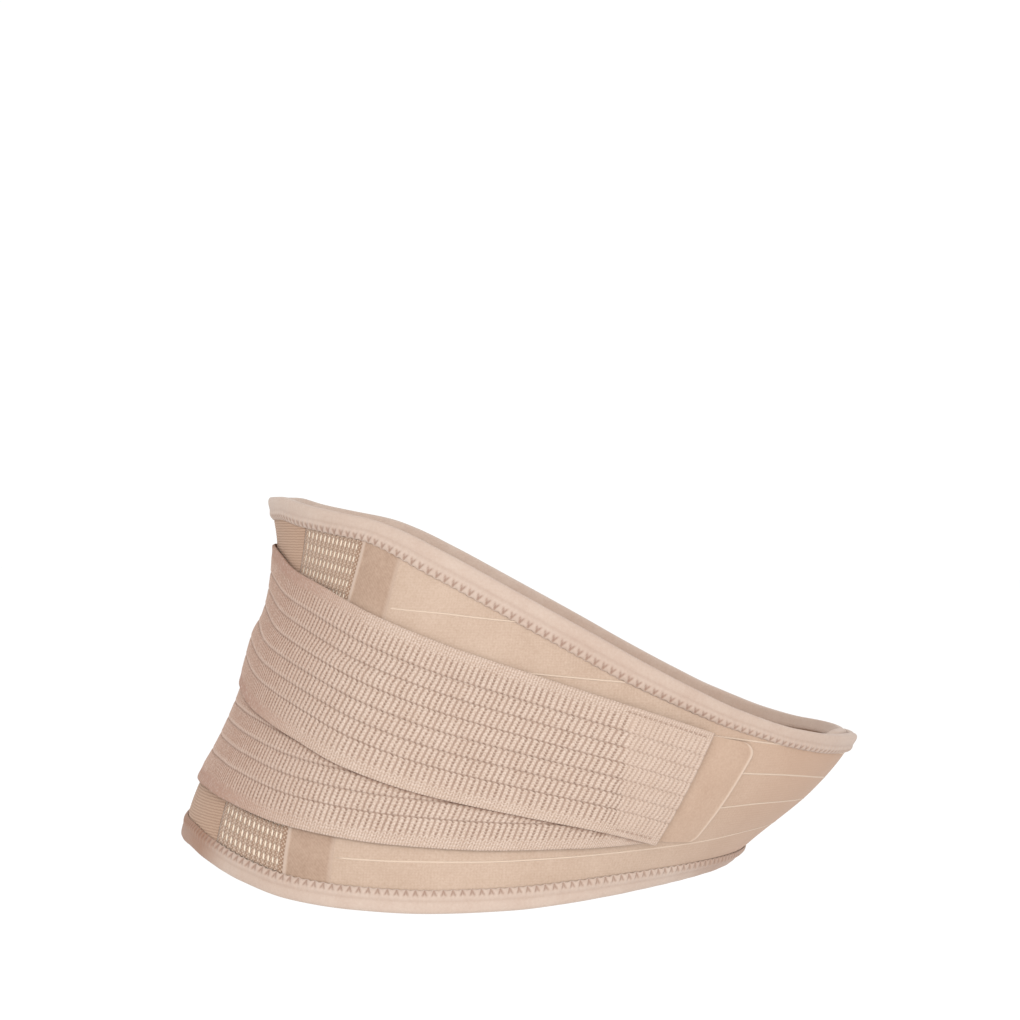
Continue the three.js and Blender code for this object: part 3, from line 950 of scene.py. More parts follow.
@dataclass
class MeshPanel(SidePiece):
    """Net panel of one side, with rows of upright eyelets over a pale lining."""

    turn_from: float = 0.26203
    turn_to: float = 0.37197
    eyelets: int = 13
    eyelet_width: float = 1.9
    eyelet_height: float = 4.2
    taper: float = 0.55
    row_pitch: float = 7.1
    margin: float = 3.0
    edge_room: float = 6.0
    height_share: float = 0.87
    spread: float = 0.30
    sunk: float = 0.4
    bar_rise: float = 0.2
    bar_sink: float = 0.1
    back_rise: float = 0.75
    lining_top: float = 1.25
    cut: Cut = Cut(65.0, 221.0, 13050.0)

    def columns(self) -> tuple[Grid, Grid]:
        """Places across the panel, and the column count at each."""
        width = (self.turn_to - self.turn_from) * self.belt.torso.half_round
        steps = 1 + self.spread * (1 - 2 * (np.arange(self.eyelets) + 0.5) / self.eyelets)
        edges = np.concatenate([[0], np.cumsum(steps)])
        edges = self.margin + edges / edges[-1] * (width - 2 * self.margin)
        places, count = [0.0], [-0.5]
        for k in range(self.eyelets):
            middle, half = (edges[k] + edges[k + 1]) / 2, self.eyelet_width * steps[k] / 2
            places += [edges[k], middle - half, middle + half]
            count += [k, k + 0.3, k + 0.7]
        places += [edges[-1], width]
        count += [self.eyelets, self.eyelets + 0.5]
        return np.array(places), np.array(count)

    def build(self) -> None:
        """Builds and dresses the panel and its lining."""
        torso, levels = self.belt.torso, self.belt.levels
        across, count = self.columns()
        tall = self.height_share * torso.back_height
        rows = int((tall - 2 * self.edge_room) / self.row_pitch)
        half = self.eyelet_height / 2
        ups = [0.0]
        for k in range(rows):
            middle = self.edge_room + (k + 0.5) * self.row_pitch
            ups += [middle + d for d in (-self.row_pitch / 2, -half, -half * 0.5, half * 0.5, half)]
        ups += [self.edge_room + rows * self.row_pitch, tall]
        ups = np.array(ups)
        i, j = pairs(np.arange(len(across)), np.arange(len(ups)))
        slot_i, slot_j = (i - 1) % 3, (j - 1) % 5
        inside = (i >= 1) & (i < len(across) - 2) & (j >= 1) & (j < len(ups) - 2)
        tip = inside & ((slot_j == 1) | (slot_j == 4))
        x = across[i] + self.taper * tip * ((slot_i == 1).astype(float) - (slot_i == 2))
        turn = self.turn_from + x / torso.half_round
        height = torso.between(turn, ups[j] / tall)
        keep = ~((inside & (slot_i == 1) & (slot_j >= 1) & (slot_j <= 3))[:-1, :-1])
        rim = (inside & (slot_i > 0) & (slot_j > 0)).astype(float)
        bar = inside & (slot_i == 0)
        high = levels.panel_top - self.sunk + self.bar_rise * bar
        low = levels.mesh_base + self.back_rise - self.bar_sink * bar
        layout = np.stack([count[i], (ups[j] - self.edge_room) / self.row_pitch], -1)
        body = self.cloth("net_panel", turn, height, low, high, layout, {"rim": rim}, keep, "Lay")
        net = self.dress(body, "net", "mesh_panel", self.cut)
        turn, v = pairs(np.linspace(self.turn_from, self.turn_to, 14), np.linspace(0, 1, 30))
        height = torso.between(turn, v)
        body = self.cloth("net_lining", turn, height, levels.skin, self.lining_top,
                          torso.lay(turn, height), {"outer": np.ones_like(turn)}, one_side=True)
        self.dress(body, "net", "", replace(self.cut, rests_on=(net.name,)), "pale_lining")


@dataclass
class StayCasing(SidePiece):
    """Upright tape over a flat stay, with rolled edges."""

    turn_from: float = 0.37203
    turn_to: float = 0.42497
    rolled: float = 3.0
    under_edging: float = 9.0
    bead: float = 0.26
    stay: float = 0.25
    pucker: float = 0.06
    cut: Cut = Cut(32.0, 221.0, 6500.0)

    def build(self) -> None:
        """Builds and dresses the casing."""
        torso, levels = self.belt.torso, self.belt.levels
        width = (self.turn_to - self.turn_from) * torso.half_round
        edge = np.array([0, 0.15, 0.5, 1.0, 1.5, 2.0, 2.5, 2.9])
        inner = np.linspace(3.4, width - 3.4, 14)
        x = np.concatenate([edge, inner, (width - edge)[::-1]])
        x, v = pairs(x, np.linspace(0, 1, 90))
        turn = self.turn_from + x / torso.half_round
        height = torso.between(turn, v)
        end_room = nearer(v) * torso.tall(turn) * torso.back_height
        free = ease((end_room - self.under_edging) / 4) * ease((width - x) / 3.0)
        near = np.minimum(x, width - x)
        bead = np.clip(1 - ((near - self.rolled / 2) / (self.rolled / 2)) ** 2, 0, 1) ** 0.7
        bead = bead * np.where(x < width / 2, 1.0, 0.25)
        # where the painted highlight of the rolled edges lies, fainter on the far edge
        rolled = np.maximum(ease((3.2 - x) / 1.6), 0.6 * ease((3.5 - (width - x)) / 3.5))
        stay = ease((near - 4) / 3) * self.stay
        pucker = self.pucker * np.sin(v * 95) * ease((near - 2) / 3)
        body_level = mix(levels.panel_top - 0.1, levels.casing_top - 0.3 + stay + pucker, free)
        high = body_level - 0.12 + bead * self.bead * free
        layout = np.stack([x, height * torso.back_height], -1)
        body = self.cloth("stay_tape", turn, height, 0.0, high, layout, {"rolled": rolled})
        self.dress(body, "casing_tape", "stay_casing", self.cut)


@dataclass
class FrontPanel(SidePiece):
    """Smooth knit panel of one side, with thin pressed seams."""

    turn_from: float = 0.42503
    columns: int = 190
    end_columns: int = 14
    rows: int = 40
    seams: tuple[Rows, ...] = (
        ((0.428, 0.728), (0.446, 0.724), (0.484, 0.717), (0.527, 0.706), (0.58, 0.694)),
        ((0.58, 0.576), (0.627, 0.565), (0.66, 0.557), (0.694, 0.549)),
        ((0.768, 0.419), (0.80, 0.406), (0.855, 0.384), (0.93, 0.356), (1.02, 0.332)),
        ((0.795, 0.328), (0.85, 0.316), (0.919, 0.297), (1.02, 0.272)),
        ((0.79, 0.243), (0.839, 0.246), (0.912, 0.240), (1.02, 0.222)),
        ((0.428, 0.140), (0.49, 0.134), (0.565, 0.132), (0.64, 0.138), (0.72, 0.149),
         (0.80, 0.160), (0.875, 0.173), (1.02, 0.178)),
    )
    seam_radius: float = 0.58
    seam_flatness: float = 0.3
    seam_steps: int = 70
    sunk: float = 0.12
    pucker: float = 0.10
    swell: float = 0.05
    corner_room: float = 0.86
    cuts: tuple[Cut, Cut] = (Cut(217.0, 442.0, 57500.0), Cut(217.0, 474.0, 60600.0))

    def build(self) -> None:
        """Builds and dresses the panel and its seams."""
        torso, levels = self.belt.torso, self.belt.levels
        left = self.side.mirrored
        end, radius = torso.ends[left], torso.end_radius
        inner = end - torso.inset / torso.half_round
        straight = inner - radius / torso.half_round
        tall = float(torso.tall(end)) * torso.back_height
        u = np.concatenate([[0, 0.05], np.arange(1, self.columns + self.end_columns + 1)])
        u, v = pairs(u, crowded(self.rows))
        back = rounded(v, tall, radius)[1] / torso.half_round
        back = np.minimum(back, self.corner_room * (inner - straight))
        turn = np.where(u <= self.columns, mix(self.turn_from, straight, u / self.columns),
                        mix(straight, inner - back, (u - self.columns) / self.end_columns))
        height = torso.between(turn, v)
        layout = torso.lay(turn, height)
        run, up = layout[..., 0], layout[..., 1]
        pucker = self.pucker * np.exp(-nearer(v) * 9) * np.sin(run / 2.1)
        pucker = pucker + self.swell * np.sin(run / 23 + up / 17)
        face = levels.panel_top - self.sunk
        body = self.cloth("knit_panel", turn, height, levels.skin, face + pucker, layout)
        self.dress(body, "panel_knit", "front_panel", self.cuts[left])
        seams = Body(f"pressed_seams_{self.side.word}")
        cord = Cord(self.belt, self.seam_radius, flatness=self.seam_flatness)
        for rows in self.seams:
            places = np.linspace(rows[0][0], rows[-1][0], self.seam_steps)
            cord.add(seams, places * self.side.value, along(rows, places), face)
        seams.build(self.belt.finishes.get("thread"), "panel_knit", [])


@dataclass
class Cord:
    """Thin half-sunk cord along a path on the cloth."""

    belt: Belt
    radius: float
    facets: int = 6
    flatness: float = 1.0
    tip: float = 0.35

    def add(self, body: Body, turn: Grid, height: Grid, level: Grid) -> None:
        """Adds one run of cord to a body.

        Args:
            body: The body that takes it.
            turn: Half turns along the path.
            height: Height shares along the path.
            level: Level along the path.
        """
        torso = self.belt.torso
        middle = torso.lift(turn, height, level)
        normal = torso.normal(turn, height)
        side = unit(np.cross(normal, unit(np.gradient(middle, axis=0))))
        angle = 2 * np.pi * np.arange(self.facets) / self.facets
        taper = np.ones(len(turn))
        taper[0] = taper[-1] = self.tip
        r = (self.radius * taper)[:, None, None]
        ring = (middle[:, None] + r * (np.cos(angle)[None, :, None] * side[:, None]
                                       + np.sin(angle)[None, :, None] * normal[:, None]
                                       * self.flatness))
        layout = np.stack(np.broadcast_arrays(travel(middle)[:, None],
                                              angle[None] * self.radius), -1)
        first = body.add(ring, {"Run": layout})
        for i in range(len(turn) - 1):
            for k in range(self.facets):
                n = (k + 1) % self.facets
                a = first + i * self.facets
                body.faces.append((a + k, a + self.facets + k, a + self.facets + n, a + n)[::-1])
        last = first + (len(turn) - 1) * self.facets
        body.faces.append(tuple(range(first, first + self.facets))[::-1])
        body.faces.append(tuple(range(last, last + self.facets)))


class Edge(Enum):
    """Long edge of the belt."""

    TOP = "top"
    BOTTOM = "bottom"


@dataclass
class Binding:
    """Soft folded edging: a smooth outer half and a row of looped stitches inside it."""

    belt: Belt
    edge: Edge
    step: float = 0.675
    loop: float = 5.4
    stroke: float = 0.6
    scallop: float = 0.5
    sunk: float = 0.4
    swell: float = 0.2
    join: float = 0.3
    steps: int = 1400
    fullness: Rows = ((0.38, 1.0), (0.48, 1.2), (0.66, 1.2), (0.75, 1.0), (0.82, 0.82))
    cuts: tuple[Cut, Cut] = (Cut(29.0, 1355.0, 39300.0), Cut(29.0, 1331.0, 38600.0))

    def path(self) -> tuple[Grid, Grid]:
        """Places along the edge, from end middle to end middle, evenly spaced."""
        torso = self.belt.torso
        rows = torso.top_edge if self.edge is Edge.TOP else torso.bottom_edge
        inward = -1 if self.edge is Edge.TOP else 1
        across, rise = torso.end_radius / torso.half_round, torso.end_radius / torso.back_height
        right, left = torso.ends

        def corner(end: float) -> Grid:
            """Rounded corner and half of the front end."""
            sign = math.copysign(1.0, end)
            middle = float(torso.between(end, 0.5))
            angle = np.linspace(0, np.pi / 2, 24)[1:]
            turn = end - sign * across * (1 - np.sin(angle))
            height = torso.edge(rows, turn) + inward * rise * (1 - np.cos(angle))
            stop = middle - inward * self.join / torso.back_height
            tail = np.linspace(height[-1], stop, 14)[1:]
            return np.concatenate([np.stack([turn, height], -1),
                                   np.stack([np.full_like(tail, end), tail], -1)])

        run = np.linspace(-left + across, right - across, self.steps)
        middle = np.stack([run, torso.edge(rows, run)], -1)
        path = np.concatenate([corner(-left)[::-1], middle, corner(right)])
        if self.edge is Edge.BOTTOM:
            path = path[::-1]
        turn, height = path.T
        length = travel(torso.lift(turn, height, 0.0))
        at = np.linspace(0, length[-1], int(length[-1] / self.step) + 1)
        return np.stack([np.interp(at, length, turn), np.interp(at, length, height)], -1), at

    def profile(self) -> tuple[Grid, Grid, Grid]:
        """Section of the edging: distance in from the edge, level, and weight of the stitches."""
        out, inn, wall = (self.belt.levels.binding_out, self.belt.levels.binding_in,
                          self.belt.levels.binding_wall)
        face = [(-13.8, -0.62, 1), (-13.7, -0.2, 1), (-13.3, 0.2, 1), (-12.8, 0.55, 1),
                (-12.2, 0.87, 1), (-11.5, 1.14, 1), (-10.8, 1.3, 1), (-10.1, 1.36, 1),
                (-9.4, 1.32, 1), (-8.7, 1.22, 0.8), (-8.0, 1.12, 0.4), (-7.2, 1.06, 0),
                (-6.5, 1.12, 0), (-5.4, 1.28, 0), (-3.9, 1.42, 0), (-2.4, 1.38, 0),
                (-1.3, 1.05, 0), (-0.5, 0.45, 0), (-0.05, -0.5, 0)]
        points = [(b, out + n, w) for b, n, w in face]
        points += [(0.0, (out + inn) / 2, 0), (-0.3, inn - wall * 0.45, 0),
                   (-1.2, inn - wall * 0.85, 0), (-3.5, inn - wall, 0), (-8.0, inn - wall, 0),
                   (-10.7, inn - wall * 0.8, 0), (-11.0, inn - 0.3, 0), (-10.6, inn, 0),
                   (-1.5, inn, 0), (-1.5, out, 0), (-12.4, out, 0), (-13.1, out - 0.62, 0)]
        b, n, w = np.array(points).T
        return b[::-1], n[::-1], w[::-1]

    def build(self) -> None:
        """Builds and dresses the edging."""
        torso = self.belt.torso
        path, at = self.path()
        turn, height = path.T
        tangent = unit(np.gradient(torso.lift(turn, height, 0.0), axis=0))
        around, up = torso.steps(turn, height)
        outward = unit(np.cross(torso.normal(turn, height), tangent))
        aa, ab, bb = ((x * y).sum(-1) for x, y in ((around, around), (around, up), (up, up)))
        ra, rb = (around * outward).sum(-1), (up * outward).sum(-1)
        scale = aa * bb - ab * ab
        across, rise = (ra * bb - rb * ab) / scale, (rb * aa - ra * ab) / scale
        b, n, w = self.profile()
        b, n, w = b[None], n[None], w[None]
        away = np.abs(turn)[:, None]
        phase = (at / self.loop)[:, None]
        q = phase - np.floor(phase)
        wave = np.cos(2 * np.pi * q)
        reach = b + w * np.clip((-10.8 - b) / 3.0, 0, 1) * (0.5 + 0.5 * wave) * self.scallop
        if self.edge is Edge.TOP:
            reach = reach * along(self.fullness, away)
        stroke = np.abs(np.abs(q - 0.5) - np.clip((b + 13.0) / 3.0, 0, 1) * 0.25)
        mark = bump(stroke * self.loop, self.stroke) * w
        mark = mark * np.clip((b + 13.7) / 0.4, 0, 1) * np.clip((-9.7 - b) / 1.2, 0, 1)
        soft = 0.07 * np.sin(at / 3.1 + 2 * np.sin(at / 17))[:, None] * (1 - w)
        back = ease((0.31 - away) / 0.09)
        level = (n - self.sunk * mark + self.swell * wave * w
                 + (soft - self.sunk * back) * (n > self.belt.levels.binding_out))
        points = torso.lift(turn[:, None] + reach * across[:, None],
                            height[:, None] + reach * rise[:, None], level)
        body = Body(f"plush_edging_{self.edge.value}")
        # painted shade for the back mark: on the bottom edging at the centre back, at its front
        # ends and a little along its sides; on the top edging toward its front part
        if self.edge is Edge.BOTTOM:
            front, side = 0.55 * ease((away - 0.77) / 0.09), 0.12 * ease((0.42 - away) / 0.08)
            back = np.maximum(np.maximum(back, front), side)
        else:
            back = 0.1 * ease((away - 0.58) / 0.06)
        # painted shade along the fold's crease, added to the stitch mark
        crease = bump(b + 7.4, 0.9) * (n > 1) * 0.22
        shade = np.clip(mark ** (1 - 0.45 * ease((0.42 - away) / 0.12)) + crease, 0, 1)
        layout = np.stack(np.broadcast_arrays(at[:, None], b), -1)
        first = body.add(points, {"Run": layout}, {"stitch": shade, "back": back})
        count = b.size
        body.quads(first, len(at), count, flip=True)
        ring = np.arange(len(at)) * count
        body.strip((first + ring).tolist(), (first + ring + count - 1).tolist())
        body.faces.append(tuple(range(first, first + count)))
        last = first + (len(at) - 1) * count
        body.faces.append(tuple(range(last, last + count))[::-1])
        body.build(self.belt.finishes.get("edging"), "edging", [f"{self.edge.value}_binding"],
                   cut=self.cuts[self.edge is Edge.BOTTOM])


@dataclass(frozen=True)
class StrapRoute:
    """Where a strap runs: its two edges, and the turns at which they end."""

    top: Rows
    bottom: Rows
    top_end: float
    bottom_end: float


UPPER_ROUTE = StrapRoute(
    top=((0.00, 0.880), (0.10, 0.876), (0.17, 0.860), (0.25, 0.820), (0.33, 0.778),
         (0.42, 0.704), (0.50, 0.638), (0.60, 0.564), (0.68, 0.500), (0.764, 0.427)),
    bottom=((0.00, 0.525), (0.14, 0.510), (0.28, 0.457), (0.36, 0.408), (0.42, 0.353),
            (0.50, 0.292), (0.60, 0.238), (0.68, 0.199), (0.731, 0.170)),
    top_end=0.764, bottom_end=0.731)
LOWER_ROUTE = StrapRoute(
    top=((0.00, 0.627), (0.17, 0.620), (0.27, 0.602), (0.38, 0.560), (0.48, 0.523),
         (0.58, 0.492), (0.66, 0.462), (0.755, 0.420)),
    bottom=((0.00, 0.275), (0.17, 0.270), (0.27, 0.250), (0.38, 0.205), (0.48, 0.173),
            (0.58, 0.159), (0.66, 0.162), (0.725, 0.172)),
    top_end=0.755, bottom_end=0.725)


@dataclass
class ElasticStrap:
    """Wide woven elastic round the back, with lengthwise grooves and crosswise ribs."""

    belt: Belt
    name: str
    route: StrapRoute
    under: StrapRoute | None = None
    over: StrapRoute | None = None
    grooves: tuple[float, ...] = (0.20, 0.32, 0.44, 0.56, 0.68, 0.80)
    selvedge: float = 0.075
    width: float = 84.0
    rib_pitch: float = 3.1
    back_pitch: float = 3.3
    sewn_pitch: float = 2.35
    rib_lean: float = 0.14
    sewn_run: float = 36.0
    sewn_rows: tuple[float, float] = (26.0, 42.0)
    rib_relief: float = 0.48
    groove_depth: float = 0.6
    groove_width: float = 0.0075
    lip_offset: float = 0.014
    lip_width: float = 0.008
    crown: float = 0.22
    climb: float = 14.0
    climb_clear: float = 4.0
    inside_rib: tuple[float, ...] = (0.0, 0.15, 0.38, 0.62, 0.85)
    under_rows: int = 9
    seed: int = 7
    cut: Cut = Cut(89.0, 808.0, 66100.0)

    def place(self, run: Grid, v: Grid) -> tuple[Grid, Grid]:
        """Turn and height share at a run from -1 to 1 and a share across."""
        torso = self.belt.torso
        high, low = run * self.route.top_end, run * self.route.bottom_end
        return (mix(low, high, v),
                mix(torso.edge(self.route.bottom, low), torso.edge(self.route.top, high), v))

    def base(self, run: Grid, v: Grid) -> Grid:
        """Level of the underside: on the panels, on the tab and on the strap below."""
        levels, torso = self.belt.levels, self.belt.torso
        on_tab = ease((np.abs(run) - 0.88) / 0.05) * (levels.strap_on_tab - levels.strap_base)
        if self.under is None:
            return levels.strap_base + on_tab
        turn, height = self.place(run, v)
        clear = (height - torso.edge(self.under.top, turn)) * torso.back_height
        up = 1 - ease((clear - self.climb_clear) / self.climb)
        return levels.strap_base + on_tab + levels.strap_lift * up

    def shadow(self, turn: Grid, height: Grid) -> Grid:
        """Dark line on this strap along the lower edge of the strap over it."""
        if self.over is None:
            return np.zeros_like(turn)
        torso = self.belt.torso
        below = (torso.edge(self.over.bottom, turn) - height) * torso.back_height
        return bump(np.clip(below, 0, None), 1.1) * (below > -1.5)

    def half_length(self) -> float:
        """Length from the centre back to one end, along the middle."""
        run = np.linspace(0, 1, 400)
        turn, height = self.place(run, np.full_like(run, 0.5))
        points = self.belt.torso.lift(turn, height, self.belt.levels.strap_base)
        return float(np.linalg.norm(np.diff(points, axis=0), axis=-1).sum())

    def ribs(self, length: float) -> tuple[Grid, Grid]:
        """Columns along the strap.

        Args:
            length: Length of one half.

        Returns:
            Distance of each column from the centre back, and its rib count.
        """
        edges = [0.0]
        while edges[-1] < length - self.sewn_run:
            forward = float(ease(np.array(edges[-1] / length)))
            edges.append(edges[-1] + mix(self.back_pitch, self.rib_pitch, forward))
        rest = max(1, round((length - edges[-1]) / self.sewn_pitch))
        edges += list(np.linspace(edges[-1], length, rest + 1)[1:])
        half = np.array(edges)
        both = np.concatenate([-half[:0:-1], half])
        share = np.array(self.inside_rib)
        at = (both[:-1, None] + share * np.diff(both)[:, None]).ravel()
        count = (np.arange(len(both) - 1)[:, None] + share).ravel()
        return np.append(at, both[-1]), np.append(count, len(both) - 1)

    def across(self) -> Grid:
        """Shares across the strap at which the rows of vertices lie."""
        stops = (0.0, *self.grooves, 1.0)
        last = len(stops) - 2
        at_edge, at_groove, shoulder, crown = 0.004, 0.009, 0.012, 0.02
        rows: list[float] = []
        for k in range(last + 1):
            low, high = stops[k], stops[k + 1]
            near = at_groove if k else at_edge
            far = at_groove if k < last else at_edge
            count = 4 if 0 < k < last else 5
            rows += [low, low + near, low + near + shoulder,
                     *np.linspace(low + near + crown, high - far - crown, count),
                     high - far - shoulder, high - far]
        return np.array([*rows, 1.0])

    def build(self) -> None:
        """Builds and dresses the strap."""
        torso, levels = self.belt.torso, self.belt.levels
        random = np.random.RandomState(self.seed)
        length = self.half_length()
        at, count = self.ribs(length)
        v = self.across()
        stops = np.array((0.0, *self.grooves, 1.0))
        band = np.clip(np.searchsorted(stops, v, side="right") - 1, 0, len(stops) - 2)
        low, high = stops[band], stops[band + 1]
        inner = np.clip((v - low) / (high - low), 0, 1)
        belly = np.sin(np.pi * inner)
        outer_band = (band == 0) | (band == len(stops) - 2)
        grooves = np.array(self.grooves)
        groove = bump(np.min(np.abs(v[:, None] - grooves), 1), self.groove_width)
        plain = ease((self.selvedge + 0.012 - nearer(v)) / 0.02)
        zone = mix(*self.sewn_rows, v)[None]
        sewn = ease((np.abs(at)[:, None] - (length - zone)) / 2.0)
        phases = random.uniform(0, 2 * np.pi, len(stops))
        sizes = random.uniform(0.5, 1.0, len(stops)) * np.where(np.arange(len(stops)) % 2, 1, -1)
        bend = (np.sin(at[:, None] / 47 + phases[band]) * 0.3 + sizes[band] * 0.2) * belly
        bend = bend * (1 - 0.5 * outer_band) * self.rib_pitch * 0.36
        lean = np.tanh(at / 40)[:, None] * (inner - 0.5) * (high - low) * self.width * self.rib_lean
        bend = bend + lean * (1 - 0.4 * outer_band)
        fade = np.clip((length - np.abs(at)) / 6.0, 0, 1)[:, None]
        run = np.clip((at[:, None] + bend * fade) / length, -1, 1)
        rib = count - np.floor(count)
        ridge = (np.sin(np.pi * rib) ** 0.7)[:, None]
        uneven = random.uniform(0.86, 1.06, (int(count[-1]) + 1, len(stops)))
        strength = uneven[np.floor(count).astype(int)][:, band]
        body_relief = self.rib_relief * (1 - 0.8 * plain) * (1 - 0.9 * groove) * (1 - 0.35 * sewn)
        rim = np.clip(nearer(v) / 0.006, 0, 1) ** 0.5
        # toward the centre back the relief is flatter, and the back mark paints shade there
        back = ease((0.60 - np.abs(at) / length) / 0.3)[:, None]
        flat = 1 - 0.65 * back
        # lip: slight ridge just above each groove, which also carries a painted highlight
        lip = bump(np.min(np.abs(v[:, None] - self.lip_offset - grooves), 1), self.lip_width)
        crown = self.crown * belly * (1 - 0.5 * outer_band) * flat
        top = (levels.strap_wall - 0.35) * (0.45 + 0.55 * rim) + crown
        top = top + body_relief * ridge * strength
        top = top - self.groove_depth * groove * flat * (1 - 0.45 * sewn) + 0.12 * lip
        level = self.base(run, v[None]) + top
        turn, height = self.place(run, v[None] + 0 * run)
        body = Body(self.name)
        layouts = {
            "Lay": np.stack(np.broadcast_arrays(count[:, None], v[None]), -1),
            "Run": np.stack(np.broadcast_arrays(at[:, None], v[None] * self.width), -1),
        }
        marks = {"groove": groove, "lip": lip, "selvedge": plain, "sewn": sewn,
                 "depth": np.clip(strength, 0, 1) * (1 - 0.25 * sewn), "back": back,
                 "shadow": self.shadow(turn, height)}
        marks = {key: np.broadcast_to(value, turn.shape) for key, value in marks.items()}
        first = body.add(torso.lift(turn, height, level), layouts, marks)
        columns, rows = turn.shape
        body.quads(first, columns, rows)
        thin = self.under_rows
        picked = np.linspace(0, rows - 1, thin).round().astype(int)
        under = body.add(
            torso.lift(turn[:, picked], height[:, picked], self.base(run, v[None])[:, picked]),
            {k: x[:, picked] for k, x in layouts.items()},
            {k: x[:, picked] for k, x in marks.items()})
        body.quads(under, columns, thin, flip=True)
        line = np.arange(columns)
        outer, inner = first + line * rows, under + line * thin
        body.strip(inner.tolist(), outer.tolist())
        body.strip((outer + rows - 1).tolist(), (inner + thin - 1).tolist())
        for column, order in ((0, 1), (columns - 1, -1)):
            loop = (*range(outer[column], outer[column] + rows),
                    *range(inner[column] + thin - 1, inner[column] - 1, -1))
            body.faces.append(tuple(int(place) for place in loop[::order]))
        body.build(self.belt.finishes.get("strap_elastic"), "strap_elastic",
                   [self.name.replace("_woven", "")], cut=self.cut)


@dataclass
class EndStitches:
    """Two rows of stitches that hold a strap's end on its tab."""

    belt: Belt
    strap: ElasticStrap
    side: Side
    stitch: float = 2.2
    gap: float = 1.1
    radius: float = 0.4
    facets: int = 5
    margin: float = 0.05
    stop: float = 2.6
    first: float = 0.6
    lift: float = 0.12
    dip: tuple[float, ...] = (-0.45, 0.1, 0.1, -0.45)
    dip_at: tuple[float, ...] = (0.0, 0.25, 0.75, 1.0)

    def build(self) -> None:
        """Builds the stitches."""
        length = self.strap.half_length()
        low, high = (1 - row / length for row in self.strap.sewn_rows)
        body = Body(f"end_stitches_{self.side.word}")
        for begin, across in ((high, 1 - self.margin), (low, self.margin)):
            self.line(body, begin, 1 - self.stop / length, across)
        body.build(self.belt.finishes.get("sewing_thread"), "strap_elastic", [])

    def line(self, body: Body, begin: float, end: float, across: float) -> None:
        """Adds one row of stitches along the strap.

        Args:
            body: The body that takes them.
            begin: Run at which the row starts.
            end: Run at which it ends.
            across: Its share across the strap.
        """
        run = np.linspace(begin, end, 120) * self.side.value
        v = np.full_like(run, across)
        turn, height = self.strap.place(run, v)
        level = self.strap.base(run, v) + self.belt.levels.strap_wall + self.lift
        length = travel(self.belt.torso.lift(turn, height, level))
        cord = Cord(self.belt, self.radius, self.facets)
        for start in np.arange(self.first, length[-1] - self.stitch, self.stitch + self.gap):
            at = start + self.stitch * np.array(self.dip_at)
            cord.add(body, np.interp(at, length, turn), np.interp(at, length, height),
                     np.interp(at, length, level) + np.array(self.dip))


@dataclass
class StrapTab(SidePiece):
    """Smooth rounded end piece that the two straps are sewn to."""

    start: float = 0.96
    strap_end: tuple[float, float] = (0.731, 0.764)
    end: tuple[float, float] = (0.784, 0.812)
    radii: tuple[float, float] = (4.0, 9.0)
    top: Rows = ((0.70, 0.462), (0.733, 0.440), (0.768, 0.419), (0.812, 0.394))
    bottom: Rows = ((0.70, 0.184), (0.731, 0.176), (0.754, 0.168), (0.803, 0.164))
    rim: float = 0.85
    rows: int = 64
    wide: float = 40.0
    height_share: float = 0.26
    cut: Cut = Cut(56.0, 70.0, 3750.0)

    def build(self) -> None:
        """Builds and dresses the tab."""
        torso, levels = self.belt.torso, self.belt.levels
        tall, wide = self.height_share * torso.back_height, self.wide
        edge = np.array([0, 0.12, 0.35, 0.8, 1.3, 1.7, 2.0, 2.4])
        u = np.concatenate([np.linspace(0, 1 - 2.8 / wide, 26), 1 - edge[::-1] / wide])
        u, v = pairs(u, crowded(self.rows))
        x, back = rounded(v, tall, np.where(v > 0.5, self.radii[1], self.radii[0]))
        begin = mix(*self.strap_end, v) * self.start
        turn = mix(begin, mix(*self.end, v) - back / torso.half_round, u)
        height = mix(torso.edge(self.bottom, turn), torso.edge(self.top, turn), v)
        near = np.minimum((1 - u) * wide, nearer(v) * tall + x * 2.0)
        # raised bead along the edge; its pressed mark carries the painted highlight
        bead = bump(near - self.rim, 0.75)
        drop = np.exp(-near / 0.2)
        soft = 0.08 * np.sin(v * 9 + u * 4)
        high = levels.tab_base + levels.tab_wall - 0.3 + 0.35 * bead - 0.5 * drop + soft
        body = self.cloth("smooth_tab", turn, height, levels.tab_base, high,
                          torso.lay(turn, height), {"pressed": bead})
        self.dress(body, "tab_knit", "strap_tab", self.cut)


@dataclass
class ClosurePad:
    """Fastening hidden between the front ends; its solid is kept and dressed."""

    belt: Belt

    def build(self) -> None:
        """Dresses the solid."""
        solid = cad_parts["closure_pad"]
        solid.data.materials.clear()
        solid.data.materials.append(self.belt.finishes.get("closure_tape"))
        log.info("closure_pad: dressed")


